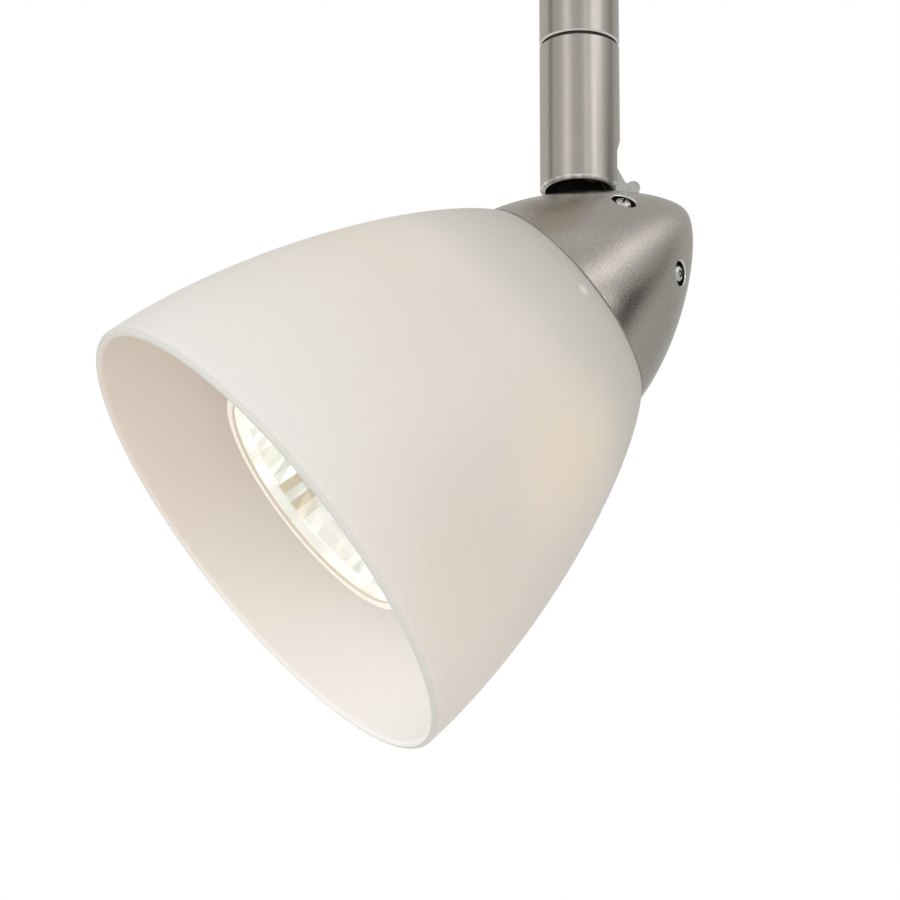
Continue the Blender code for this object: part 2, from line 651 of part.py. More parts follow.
def add_arm(mats, tilt, head):
    """The folded sheet arm: a hub on the pin, a neck down to a rounded knuckle, and a leg in the cap."""
    along = Vector((math.cos(ARM_NECK_SLOPE), math.sin(ARM_NECK_SLOPE)))
    across = Vector((-along.y, along.x))

    def on_neck(run, height):
        return tuple(run * along + height * across)

    def hub_angle(height):
        return math.degrees(ARM_NECK_SLOPE + math.asin(height / ARM_HUB_RADIUS))

    side = arc(0, 0, ARM_HUB_RADIUS, hub_angle(ARM_NECK_BOTTOM) + 360, hub_angle(ARM_NECK_TOP), 14)
    side += [on_neck(7.1 * MM, ARM_NECK_TOP)]
    side += arc(*ARM_KNUCKLE, ARM_KNUCKLE_RADIUS, 140, -30, 6)
    side += [in_side_view(6.0 * MM, ARM_OUTER_RISE), in_side_view(FOOT_BOTTOM, ARM_OUTER_RISE)]
    side += [in_side_view(FOOT_BOTTOM, ARM_INNER_RISE), in_side_view(5.7 * MM, ARM_INNER_RISE)]
    arm = prism("hinge_arm", side, -ARM_HALF_WIDTH, ARM_HALF_WIDTH, "X", mats["bright"], tilt)
    inner = ARM_HALF_WIDTH - ARM_SHEET
    web = ARM_NECK_TOP - ARM_SHEET
    web_start = 3.8 * MM
    channel = [(-4 * MM, -6 * MM), (-4 * MM, 6 * MM), (4 * MM, 6 * MM)]
    channel += [on_neck(web_start, ARM_NECK_TOP + 0.2 * MM), on_neck(web_start, web), on_neck(7.2 * MM, web)]
    channel += arc(*ARM_KNUCKLE, ARM_KNUCKLE_RADIUS - ARM_SHEET, 120, -30, 3)
    web_inside = ARM_OUTER_RISE + ARM_SHEET
    channel += [in_side_view(6.2 * MM, web_inside), in_side_view(FOOT_BOTTOM + MM, web_inside)]
    channel += [in_side_view(FOOT_BOTTOM + MM, 14 * MM)]
    cut(arm, prism("arm_channel", channel, -inner, inner, "X", None, tilt))
    pin_bore = disc(PIN_RADIUS + PIN_CLEARANCE, -4 * MM, 4 * MM)
    cut(arm, turned("arm_pin_bore", pin_bore, None, tilt, (0, 0, 0), 18, ALONG_X))
    foot_outline = rectangle(6 * MM, web_inside - FOOT_LOW, 0, (web_inside + FOOT_LOW) / 2)
    join(arm, prism("arm_foot", foot_outline, FOOT_TOP, FOOT_BOTTOM, "Z", None, head))
    foot_hole = disc(THROUGH_RADIUS, FOOT_TOP - MM, FOOT_BOTTOM + MM)
    cut(arm, turned("arm_foot_hole", foot_hole, None, head, (0, ARM_SCREW_RISE, 0), 14))


def add_cap(mats, head):
    outer = dome_curve(9)
    inner = inset_curve(outer, lambda along: CAP_WALL)
    inner[0] = (0, CROWN_STATION + CAP_WALL)
    inner[-1] = (inner[-1][0], CAP_LENGTH)
    cap = turned("cap", outer + inner[::-1], mats["nickel"], head, steps=40)
    rise = (ARM_OUTER_RISE + ARM_INNER_RISE) / 2
    opening = rectangle(2 * ARM_HALF_WIDTH + 0.8 * MM, ARM_INNER_RISE - ARM_OUTER_RISE + 0.9 * MM, 0, rise)
    cut(cap, prism("arm_opening", opening, CROWN_STATION - MM, 11 * MM, "Z", None, head))
    return cap


def add_cap_screws(mats, head, cap, plate):
    """Four button-head screws, square to the dome, that hold the cap on the head plate."""
    lean = Vector((-0.8, 0.6))
    head_back = -0.2 * MM
    recess_profile = [(0, -2 * MM), (2.75 * MM, -2 * MM), (2.75 * MM, 0), (2.4 * MM, 0.45 * MM)]
    recess_profile += [(2.4 * MM, 0.9 * MM), (1.45 * MM, 0.9 * MM), (1.45 * MM, 3 * MM), (0, 3 * MM)]
    screw_profile = arc_profile(CAP_SCREW_HEAD, CAP_SCREW_SEAT, head_back, 3)
    screw_profile += [(CAP_SCREW_SHANK, CAP_SCREW_SEAT), (CAP_SCREW_SHANK, CAP_SCREW_LENGTH)]
    screw_profile += [(0, CAP_SCREW_LENGTH)]
    origin = (0, 0, 0)
    for number, degrees in enumerate(CAP_SCREW_ANGLES, 1):
        swing = math.radians(degrees)
        outward = Vector((math.sin(swing), math.cos(swing), 0))
        inward = lean.x * outward + Vector((0, 0, lean.y))
        seat = CAP_SCREW_RADIUS * outward + Vector((0, 0, CAP_SCREW_STATION))
        turn = Matrix.Translation(seat) @ inward.to_track_quat("Z", "Y").to_matrix().to_4x4()
        hole_profile = disc(THROUGH_RADIUS, -2 * MM, 12 * MM)
        cut(cap, turned(f"cap_recess_{number}", recess_profile, None, head, origin, 16, turn))
        cut(plate, turned(f"plate_hole_{number}", hole_profile, None, head, origin, 16, turn))
        made = turned(f"cap_screw_{number}", screw_profile, mats["bright"], head, origin, 16, turn)
        socket = prism(f"cap_socket_{number}", hexagon(1.5 * MM), -MM, 0.35 * MM, "Z", None, head)
        socket.matrix_local = turn
        cut(made, socket)


def arc_profile(radius, low, high, steps):
    """A button head's domed side as (radius, height), from its crown to its edge."""
    points = []
    for i in range(steps + 1):
        angle = math.pi / 2 * i / steps
        points.append((radius * math.sin(angle), low + (high - low) * math.cos(angle)))
    return points


def cross_head_screw(name, mat, parent, place, head_radius, head_height, shank_radius, length, turn=None):
    """A pan-head screw along local +Z whose head stands back from the origin."""
    profile = [(0, -head_height), (head_radius * 0.75, -head_height), (head_radius, -head_height * 0.6)]
    profile += [(head_radius, 0), (shank_radius, 0), (shank_radius, length), (0, length)]
    return turned(name, profile, mat, parent, place, 14, turn)


def add_head_plate(mats, head, cap):
    """The machined plate inside the cap. The arm, the cap and the lampholder are all screwed to it."""
    plate = turned(
        "head_plate",
        [(0, PLATE_SEAT), (8.6 * MM, PLATE_SEAT), (8.6 * MM, PLATE_BACK), (10.0 * MM, PLATE_BACK)]
        + [(HOLDER_RADIUS, 13.66 * MM), (HOLDER_RADIUS, PLATE_FRONT), (0, PLATE_FRONT)],
        mats["aluminium"],
        head,
        steps=28,
    )
    notch = rectangle(7.4 * MM, 12 * MM, 0, 11.5 * MM)
    arm_notch = prism("arm_notch", notch, 8 * MM, PLATE_SEAT, "Z", None, head)
    lead_profile = disc(LEAD_HOLE_RADIUS, 12 * MM, 17 * MM)
    lead_hole = turned("plate_lead_hole", lead_profile, None, head, (0, LEAD_RISE, 0), 16)
    arm_profile = disc(TAPPED_RADIUS, 10 * MM, 17 * MM)
    arm_hole = turned("arm_screw_hole", arm_profile, None, head, (0, ARM_SCREW_RISE, 0), 14)
    cut(plate, arm_notch, lead_hole, arm_hole)
    steel = mats["steel"]
    place = (0, ARM_SCREW_RISE, FOOT_TOP - 0.05 * MM)
    cross_head_screw("arm_screw", steel, head, place, 2.1 * MM, 1.3 * MM, 1.2 * MM, 3.2 * MM)
    for number, sign in enumerate((-1, 1), 1):
        place = (sign * HOLDER_SCREW_OFFSET, HOLDER_SCREW_DROP, PLATE_SEAT - 0.1 * MM)
        hole_profile = disc(TAPPED_RADIUS, -MM, 9 * MM)
        cut(plate, turned(f"holder_screw_hole_{number}", hole_profile, None, head, place, 14))
        name = f"holder_screw_{number}"
        cross_head_screw(name, steel, head, place, 1.9 * MM, 1.2 * MM, 1.15 * MM, 7 * MM)
    add_cap_screws(mats, head, cap, plate)


def add_lampholder(mats, head):
    """The ceramic twist-and-lock holder, with a brass contact behind each pin slot."""
    profile = [(0, HOLDER_TOP), (HOLDER_RADIUS, HOLDER_TOP), (COLLAR_RADIUS, COLLAR_BACK)]
    profile += [(COLLAR_RADIUS, COLLAR_FRONT), (HOLDER_RADIUS, COLLAR_FRONT)]
    profile += [(HOLDER_RADIUS, HOLDER_FACE), (0, HOLDER_FACE)]
    holder = turned("lampholder", profile, mats["ceramic"], head, steps=28)
    lead_profile = disc(LEAD_HOLE_RADIUS, HOLDER_TOP - MM, HOLDER_TOP + 7 * MM)
    cut(holder, turned("holder_lead_hole", lead_profile, None, head, (0, LEAD_RISE, 0), 16))
    for number, sign in enumerate((-1, 1), 1):
        place = (sign * HOLDER_SCREW_OFFSET, HOLDER_SCREW_DROP, HOLDER_TOP)
        thread = disc(TAPPED_RADIUS, -MM, 6.5 * MM)
        cut(holder, turned(f"holder_thread_{number}", thread, None, head, place, 14))
        locked = -90 + 90 * sign
        floor = HOLDER_FACE - 9.5 * MM
        slot = arc_slot(LAMP_PIN_SPACING / 2, PIN_SLOT_RADIUS, locked, locked + math.degrees(LAMP_TWIST))
        cut(holder, prism(f"pin_slot_{number}", slot, floor, HOLDER_FACE + MM, "Z", None, head))
        contact = rectangle(3.0 * MM, 3.4 * MM, sign * LAMP_PIN_SPACING / 2, 0)
        name = f"holder_contact_{number}"
        prism(name, contact, floor + 0.1 * MM, floor + 0.5 * MM, "Z", mats["brass"], head)


def add_shade(mats, head):
    """The blown bell, its neck inside the cap, and the ring that clamps its flange to the lampholder."""
    outer = shade_curve(8)
    inner = inset_curve(outer, lambda along: SHADE_WALL + (RIM_WALL - SHADE_WALL) * along)
    inside_cap = inset_curve(dome_curve(9), lambda along: CAP_WALL + 0.5 * MM)
    neck_bore = 13.9 * MM
    profile = [(neck_bore, FLANGE_TOP), (radius_at(inside_cap, FLANGE_TOP) - FIT_GAP, FLANGE_TOP)]
    for station in (23.4 * MM, 26 * MM, 28.5 * MM):
        profile.append((radius_at(inside_cap, station), station))
    profile += [(profile[-1][0], CAP_LENGTH + 0.3 * MM)] + outer
    rim = (outer[-1][0] - RIM_WALL / 2, SHADE_END + RIM_WALL / 4)
    profile += [rim] + [p for p in inner[::-1] if p[0] > 18.4 * MM]
    profile += [(17.0 * MM, FLANGE_BOTTOM + 3.4 * MM), (16.9 * MM, FLANGE_BOTTOM), (neck_bore, FLANGE_BOTTOM)]
    turned("glass_shade", profile, mats["glass"], head, steps=40)
    seal = FIT_GAP / 3
    outside = 16.2 * MM
    bore = HOLDER_RADIUS + 0.4 * MM
    rear = disc(outside, COLLAR_FRONT + seal, FLANGE_TOP - seal, bore)
    turned("gasket_rear", rear, mats["silicone"], head)
    ring_top = FLANGE_BOTTOM + GASKET + 2 * seal
    front = disc(outside, FLANGE_BOTTOM + seal, ring_top - seal, bore)
    turned("gasket_front", front, mats["silicone"], head)
    ring = disc(16.3 * MM, ring_top, ring_top + 3.6 * MM, HOLDER_RADIUS + FIT_GAP)
    turned("shade_ring", ring, mats["ceramic"], head)


def reflector_curve(steps):
    """The lamp's outer bowl as (radius, station), from its neck to its rim."""
    neck = (9.2 * MM, LAMP_NECK)
    rim = (LAMP_RADIUS - 0.4 * MM, LAMP_FRONT - 4.0 * MM)
    return bezier(neck, (15 * MM, LAMP_NECK + 4 * MM), (21.5 * MM, LAMP_FRONT - 18 * MM), rim, steps)


def add_lamp(mats, head):
    """The twist-and-lock reflector lamp: base, two headed pins, glass bowl, front lens and burner."""
    frame = empty("lamp_axis", (0, 0, 0))
    frame.parent = head
    outer = reflector_curve(5)
    rim_back = LAMP_FRONT - 3.6 * MM
    lens_back = LAMP_FRONT - 1.6 * MM
    inner = inset_curve(outer, lambda along: LAMP_WALL)
    neck_bore = 6.4 * MM
    bowl = outer + [(LAMP_RADIUS, rim_back), (LAMP_RADIUS, lens_back - 0.1 * MM)]
    bowl += [(LAMP_RADIUS - 1.6 * MM, lens_back - 0.1 * MM)] + inner[:0:-1]
    bowl += [(neck_bore, LAMP_NECK + 1.6 * MM), (neck_bore, LAMP_NECK)]
    turned("lamp_reflector", bowl, mats["lamp_glass"], frame, steps=28)
    lens = [(0, lens_back), (LAMP_RADIUS, lens_back), (LAMP_RADIUS, LAMP_FRONT - 0.4 * MM)]
    lens += [(LAMP_RADIUS - 0.4 * MM, LAMP_FRONT), (LAMP_RADIUS - 1.6 * MM, LAMP_FRONT)]
    lens += [(LAMP_RADIUS - 2.0 * MM, LAMP_FRONT - 0.3 * MM), (0, LAMP_FRONT - 0.3 * MM)]
    turned("lamp_lens", lens, mats["lamp_glass"], frame, steps=32)
    base_back = HOLDER_FACE + 0.5 * MM
    skirt = 9.4 * MM
    spigot = neck_bore - FIT_GAP
    base = [(0, base_back), (skirt - 0.8 * MM, base_back), (skirt, base_back + MM)]
    base += [(skirt, LAMP_NECK - FIT_GAP), (spigot, LAMP_NECK - FIT_GAP)]
    base += [(spigot, LAMP_NECK + 1.2 * MM), (0, LAMP_NECK + 1.2 * MM)]
    made = turned("lamp_base", base, mats["ceramic"], frame)
    for number, sign in enumerate((-1, 1), 1):
        place = (sign * LAMP_PIN_SPACING / 2, 0, 0)
        hole_profile = disc(TAPPED_RADIUS, base_back - MM, base_back + 4 * MM)
        cut(made, turned(f"lamp_pin_hole_{number}", hole_profile, None, frame, place, 16))
        end = HOLDER_FACE - 8.4 * MM
        root = base_back + 3.8 * MM
        pin = [(0, end), (2.1 * MM, end), (LAMP_PIN_HEAD, end + 0.4 * MM), (LAMP_PIN_HEAD, end + 2.6 * MM)]
        pin += [(LAMP_PIN_RADIUS, end + 3.0 * MM), (LAMP_PIN_RADIUS, root), (0, root)]
        turned(f"lamp_pin_{number}", pin, mats["steel"], frame, place, 16)
    low = LAMP_NECK + 1.4 * MM
    pinch = 3.4 * MM
    bulb = 4.6 * MM
    tip = low + 25.5 * MM
    burner = [(0, low), (pinch, low), (pinch, low + 7 * MM), (bulb, low + 11 * MM), (bulb, low + 18 * MM)]
    burner += [(2.4 * MM, low + 23 * MM), (0.7 * MM, tip), (0, tip)]
    turned("lamp_burner", burner, mats["quartz"], frame, steps=24)


def add_leads(mats):
    """Two insulated wires from the contacts to the lampholder. The lower pair bends at the tilt axis."""
    drop = SEAM_TOP + LEAD_DROP
    for name, sign, mat in (("hot", 1, mats["lead_dark"]), ("neutral", -1, mats["lead_pale"])):
        side = sign * LEAD_SIDE
        route = [
            (BLOCK_OFFSET - 13 * MM, sign * 3 * MM, -6 * MM),
            (12 * MM, sign * 3 * MM, -7 * MM),
            (5 * MM, sign * 1.5 * MM, -8.2 * MM),
            (side, 0, -12 * MM),
            (side, 0, -22 * MM),
            (side, 0, drop),
        ]
        lead(f"lead_{name}_upper", route, mat)
        route = [
            (side, 0, drop - MM),
            (side, 0, SLEEVE_BOTTOM + 16 * MM),
            (side, 0.2 * MM, PIVOT.z + 7.5 * MM),
            (side, 1.2 * MM, PIVOT.z + 5.6 * MM),
            (side, 3.0 * MM, PIVOT.z + 4.0 * MM),
        ]
        route += [(side, PIVOT.y + y * MM, PIVOT.z + z * MM) for y, z in LEAD_THROUGH_ARM]
        for station in (7.6 * MM, 12 * MM, 18 * MM):
            y, z = in_side_view(station, LEAD_RISE)
            route.append((side, PIVOT.y + y, PIVOT.z + z))
        lead(f"lead_{name}_lower", route, mat)


def main():
    clear_scene()
    mats = {
        "nickel": material("satin_nickel", (0.56, 0.53, 0.48), 0.34, 1.0),
        "bright": material("bright_steel", (0.75, 0.75, 0.73), 0.22, 1.0),
        "steel": material("zinc_steel", (0.62, 0.62, 0.62), 0.35, 1.0),
        "brass": material("contact_brass", (0.78, 0.58, 0.27), 0.3, 1.0),
        "housing": material("silver_plastic", (0.62, 0.6, 0.56), 0.4, 0.0),
        "plastic": material("black_plastic", (0.025, 0.025, 0.027), 0.45, 0.0),
        "nylon": material("dark_nylon", (0.03, 0.03, 0.03), 0.6, 0.0),
        "glass": material("opal_glass", (0.86, 0.84, 0.81), 0.3, 0.0),
        "aluminium": material("cast_aluminium", (0.7, 0.7, 0.7), 0.45, 1.0),
        "ceramic": material("white_ceramic", (0.88, 0.87, 0.83), 0.5, 0.0),
        "silicone": material("clear_silicone", (0.8, 0.78, 0.74), 0.5, 0.0),
        "lamp_glass": material("lamp_glass", (0.9, 0.9, 0.88), 0.08, 0.0),
        "quartz": material("quartz", (0.85, 0.87, 0.88), 0.05, 0.0),
        "lead_dark": material("black_sleeving", (0.03, 0.03, 0.03), 0.6, 0.0),
        "lead_pale": material("white_sleeving", (0.85, 0.84, 0.8), 0.6, 0.0),
    }
    add_housing(mats)
    add_contacts(mats)
    add_lock(mats)
    add_stem(mats)
    add_swivel(mats)
    add_head(mats)
    add_leads(mats)


main()
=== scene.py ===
"""The looks of the track light: satin nickel stem and cap, opal glass bell and a faceted reflector lamp."""

import json
import math

import bmesh
import bpy
from mathutils import Matrix, Vector


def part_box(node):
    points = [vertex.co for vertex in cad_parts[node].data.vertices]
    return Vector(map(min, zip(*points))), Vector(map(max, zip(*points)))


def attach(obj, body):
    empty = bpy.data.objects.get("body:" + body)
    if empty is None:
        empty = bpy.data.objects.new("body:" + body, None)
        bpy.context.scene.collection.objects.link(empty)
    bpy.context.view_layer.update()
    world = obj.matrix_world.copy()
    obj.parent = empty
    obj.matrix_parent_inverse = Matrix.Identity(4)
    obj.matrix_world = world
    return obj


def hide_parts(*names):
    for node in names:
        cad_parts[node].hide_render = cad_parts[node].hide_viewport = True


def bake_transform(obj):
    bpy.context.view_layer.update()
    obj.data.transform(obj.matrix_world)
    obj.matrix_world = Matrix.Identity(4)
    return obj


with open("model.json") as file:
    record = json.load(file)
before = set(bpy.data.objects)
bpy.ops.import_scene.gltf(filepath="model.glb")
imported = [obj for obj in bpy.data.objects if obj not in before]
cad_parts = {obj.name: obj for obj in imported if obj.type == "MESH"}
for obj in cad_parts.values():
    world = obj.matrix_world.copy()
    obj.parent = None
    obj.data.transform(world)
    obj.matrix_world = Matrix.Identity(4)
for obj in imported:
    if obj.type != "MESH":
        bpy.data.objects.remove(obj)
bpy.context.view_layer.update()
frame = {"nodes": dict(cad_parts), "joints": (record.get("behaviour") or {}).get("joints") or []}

MM = 0.001
JOINTS = {joint["name"]: joint for joint in frame["joints"]}

# HEAD is the frame of the tilted head: its origin just inside the cap's crown, its Z along the lamp's aim.
# A station is a distance along that Z.
AIM = Vector(JOINTS["lamp_twist"]["axis"]).normalized()
HOLDER_FACE = 42 * MM
CROWN = Vector(JOINTS["lamp_twist"]["pos_m"]) - HOLDER_FACE * AIM
HEAD = Matrix.Translation(CROWN) @ Matrix.Rotation(math.acos(AIM.z), 4, "X")

SLEEVE_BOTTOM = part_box("knuckle_sleeve")[0].z
SLEEVE_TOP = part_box("knuckle_sleeve")[1].z
SEAM_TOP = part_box("upper_tube")[0].z
TUBE_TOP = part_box("upper_tube")[1].z
TUBE_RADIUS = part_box("upper_tube")[1].x
TUBE_BORE = TUBE_RADIUS - 1.0 * MM
TUBE_CHAMFER = 0.3 * MM
SLOT_WIDTH = 7.2 * MM
SLOT_HEIGHT = 10.4 * MM

CROWN_STATION = -1.95 * MM
CAP_LENGTH = 29.0 * MM
CAP_RADIUS = 22.45 * MM
CAP_WALL = 1.4 * MM
CAP_SCREW_STATION = 9.85 * MM
CAP_SCREW_RADIUS = 13.2 * MM
CAP_SCREW_ANGLES = (63, 144, 243, 324)
ARM_RISE = 9.7 * MM
SHADE_END = 101.3 * MM
SHADE_RADIUS = 47.5 * MM
SHADE_WALL = 2.2 * MM
RIM_WALL = 1.7 * MM
LAMP_NECK = 49 * MM
LAMP_FRONT = 89.4 * MM
LAMP_RADIUS = 25.0 * MM
FACET_COLUMNS = 72
FACET_ROWS = 11
FACET_PERIOD = 18

SHARP_ANGLE = 30
HAIR = 0.05 * MM  # too small to see


# ---------------------------------------------------------------- mesh helpers


def mesh_from(name, bm):
    mesh = bpy.data.meshes.new(name)
    bm.to_mesh(mesh)
    bm.free()
    return mesh


def put_in_scene(name, data, place=None):
    made = bpy.data.objects.new(name, data)
    bpy.context.scene.collection.objects.link(made)
    if place is not None:
        made.matrix_world = place
    return made


def smooth(mesh, sharp=SHARP_ANGLE):
    """Smooth shading, with edges sharper than an angle in degrees left crisp."""
    mesh.shade_smooth()
    mesh.set_sharp_from_angle(angle=math.radians(sharp))


def finish_mesh(name, bm, mat, body=None, place=None, sharp=SHARP_ANGLE):
    """Turns a bmesh into a smooth-shaded piece, which rides on a body if one is given."""
    bmesh.ops.remove_doubles(bm, verts=bm.verts, dist=1e-7)
    bmesh.ops.recalc_face_normals(bm, faces=bm.faces)
    mesh = mesh_from(name, bm)
    smooth(mesh, sharp)
    made = put_in_scene(name, mesh, place)
    if mat:
        mesh.materials.append(mat)
    if body:
        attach(made, body)
    return made


def turned(name, profile, mat, body=None, place=None, steps=128, sharp=SHARP_ANGLE):
    """A closed solid of revolution about local Z, from a profile of (radius, height) points."""
    on_axis = 1e-9
    bm = bmesh.new()
    rings = []
    for radius, height in profile:
        if radius < on_axis:
            rings.append([bm.verts.new((0, 0, height))] * steps)
            continue
        ring = []
        for i in range(steps):
            turn = math.tau * i / steps
            ring.append(bm.verts.new((radius * math.cos(turn), radius * math.sin(turn), height)))
        rings.append(ring)
    pairs = list(zip(rings, rings[1:]))
    if profile[0][0] > on_axis or profile[-1][0] > on_axis:
        pairs.append((rings[-1], rings[0]))
    for low, high in pairs:
        for i in range(steps):
            j = (i + 1) % steps
            corners = []
            for corner in (low[i], low[j], high[j], high[i]):
                if corner not in corners:
                    corners.append(corner)
            if len(corners) > 2:
                bm.faces.new(corners)
    return finish_mesh(name, bm, mat, body, place, sharp)


def prism(name, outline, low, high, axis, mat):
    """An outline pushed from low to high along an axis."""
    along = "XYZ".index(axis)
    bm = bmesh.new()
    ends = []
    for level in (low, high):
        corners = []
        for first, second in outline:
            point = [first, second]
            point.insert(along, level)
            corners.append(bm.verts.new(point))
        ends.append(corners)
        bm.faces.new(corners)
    count = len(outline)
    for i in range(count):
        j = (i + 1) % count
        bm.faces.new((ends[0][i], ends[0][j], ends[1][j], ends[1][i]))
    return finish_mesh(name, bm, mat)


def arc(x, y, radius, start, end, steps):
    """Points on a circle about (x, y), between two angles in degrees."""
    points = []
    for i in range(steps + 1):
        angle = math.radians(start + (end - start) * i / steps)
        points.append((x + radius * math.cos(angle), y + radius * math.sin(angle)))
    return points


def bezier(start, start_pull, end_pull, end, steps):
    """Points on a cubic curve from start to end, bent by its two pulls."""
    points = []
    for i in range(steps + 1):
        t = i / steps
        weights = ((1 - t) ** 3, 3 * t * (1 - t) ** 2, 3 * t**2 * (1 - t), t**3)
        pulls = (start, start_pull, end_pull, end)
        points.append(tuple(sum(w * p[k] for w, p in zip(weights, pulls)) for k in (0, 1)))
    return points


def inset_curve(points, depth_at):
    """Moves a profile square to itself. The depth may change with the share of the way along it."""
    moved = []
    for i, (radius, station) in enumerate(points):
        before = points[max(i - 1, 0)]
        after = points[min(i + 1, len(points) - 1)]
        run = Vector((after[0] - before[0], after[1] - before[1])).normalized()
        depth = depth_at(i / (len(points) - 1))
        moved.append((max(radius - run.y * depth, 0), station + run.x * depth))
    return moved


def faces_axis(centre, normal):
    return normal.x * centre.x + normal.y * centre.y < 0


def paint(target, mat, chosen):
    """Gives another material to the faces that a test of centre and normal picks."""
    mesh = target.data
    mesh.materials.append(mat)
    for face in mesh.polygons:
        if chosen(face.center, face.normal):
            face.material_index = len(mesh.materials) - 1


def off_axis(point):
    return math.hypot(point.x, point.y)


def cut(target, *cutters):
    """Cuts the target's mesh with each cutter, applies the result and removes the cutters."""
    for cutter in cutters:
        step = target.modifiers.new("cut", "BOOLEAN")
        step.object = cutter
        step.operation = "DIFFERENCE"
        step.solver = "EXACT"
        step.material_mode = "TRANSFER"
        apply_modifiers(target)
        bpy.data.objects.remove(cutter)


def apply_modifiers(target):
    bpy.context.view_layer.update()
    graph = bpy.context.evaluated_depsgraph_get()
    mesh = bpy.data.meshes.new_from_object(target.evaluated_get(graph))
    target.modifiers.clear()
    target.data = mesh
    smooth(mesh)


def soften(target, width, angle=40):
    """Rounds a piece's sharp edges by a small radius."""
    bevel = target.modifiers.new("soft_edges", "BEVEL")
    bevel.width = width
    bevel.segments = 2
    bevel.limit_method = "ANGLE"
    bevel.angle_limit = math.radians(angle)
    bevel.harden_normals = True


# ---------------------------------------------------------------- materials


class Nodes:
    """A short way to write a node material: it keeps the tree and links sockets by name."""

    def __init__(self, name):
        self.material = bpy.data.materials.new(name)
        self.material.use_nodes = True
        self.tree = self.material.node_tree
        self.shader = self.tree.nodes["Principled BSDF"]

    def add(self, kind, **values):
        made = self.tree.nodes.new(kind)
        for key, value in values.items():
            setattr(made, key, value)
        return made

    def link(self, source, target):
        self.tree.links.new(source, target)

    def coordinates(self):
        return self.add("ShaderNodeTexCoord").outputs["Object"]

    def noise(self, vector, scale, detail, rough):
        node = self.add("ShaderNodeTexNoise")
        self.link(vector, node.inputs["Vector"])
        node.inputs["Scale"].default_value = scale
        node.inputs["Detail"].default_value = detail
        node.inputs["Roughness"].default_value = rough
        return node.outputs["Fac"]

    def spread(self, value, low, high, start=0.0, end=1.0):
        """Maps a value between start and end onto low..high."""
        node = self.add("ShaderNodeMapRange")
        self.link(value, node.inputs["Value"])
        node.inputs["From Min"].default_value = start
        node.inputs["From Max"].default_value = end
        node.inputs["To Min"].default_value = low
        node.inputs["To Max"].default_value = high
        return node.outputs["Result"]

    def mix(self, factor, first, second):
        """Mixes two colours by a socket. Each colour is a tuple or a socket."""
        node = self.add("ShaderNodeMix", data_type="RGBA")
        self.link(factor, node.inputs["Factor"])
        colour_a, colour_b, colour_out = node.inputs[6], node.inputs[7], node.outputs[2]
        for socket, value in ((colour_a, first), (colour_b, second)):
            if isinstance(value, tuple):
                socket.default_value = (*value, 1)
            else:
                self.link(value, socket)
        return colour_out

    def near(self, centre, radius):
        """1 at a point, falling smoothly to 0 at the radius."""
        node = self.add("ShaderNodeVectorMath", operation="DISTANCE")
        self.link(self.coordinates(), node.inputs[0])
        node.inputs[1].default_value = centre
        fall = self.add("ShaderNodeMapRange", interpolation_type="SMOOTHSTEP")
        self.link(node.outputs["Value"], fall.inputs["Value"])
        fall.inputs["From Max"].default_value = radius
        fall.inputs["To Min"].default_value = 1.0
        fall.inputs["To Max"].default_value = 0.0
        return fall.outputs["Result"]

    def bump(self, height, strength, distance, normal=None):
        node = self.add("ShaderNodeBump")
        node.inputs["Strength"].default_value = strength
        node.inputs["Distance"].default_value = distance
        self.link(height, node.inputs["Height"])
        if normal is not None:
            self.link(normal, node.inputs["Normal"])
        return node.outputs["Normal"]

    def around_axis(self, along, around):
        """Coordinates that follow a turned piece: fine along its axis, and slow around it."""
        split = self.add("ShaderNodeSeparateXYZ")
        self.link(self.coordinates(), split.inputs[0])
        angle = self.add("ShaderNodeMath", operation="ARCTAN2")
        self.link(split.outputs["Y"], angle.inputs[0])
        self.link(split.outputs["X"], angle.inputs[1])
        fine = self.add("ShaderNodeMath", operation="MULTIPLY")
        self.link(split.outputs["Z"], fine.inputs[0])
        fine.inputs[1].default_value = along
        slow = self.add("ShaderNodeMath", operation="MULTIPLY")
        self.link(angle.outputs[0], slow.inputs[0])
        slow.inputs[1].default_value = around
        joined = self.add("ShaderNodeCombineXYZ")
        self.link(slow.outputs[0], joined.inputs["X"])
        self.link(fine.outputs[0], joined.inputs["Z"])
        return joined.outputs[0]

    def set(self, **values):
        names = {
            "colour": "Base Color",
            "metallic": "Metallic",
            "roughness": "Roughness",
            "ior": "IOR",
            "anisotropic": "Anisotropic",
            "transmission": "Transmission Weight",
            "subsurface": "Subsurface Weight",
            "subsurface_scale": "Subsurface Scale",
            "subsurface_radius": "Subsurface Radius",
            "specular": "Specular IOR Level",
            "emission": "Emission Strength",
            "emission_colour": "Emission Color",
        }
        for key, value in values.items():
            socket = self.shader.inputs[names[key]]
            if key in ("colour", "emission_colour") and len(value) == 3:
                value = (*value, 1)
            socket.default_value = value


def darkened(colour, share):
    return tuple(channel * (1 - share) for channel in colour)


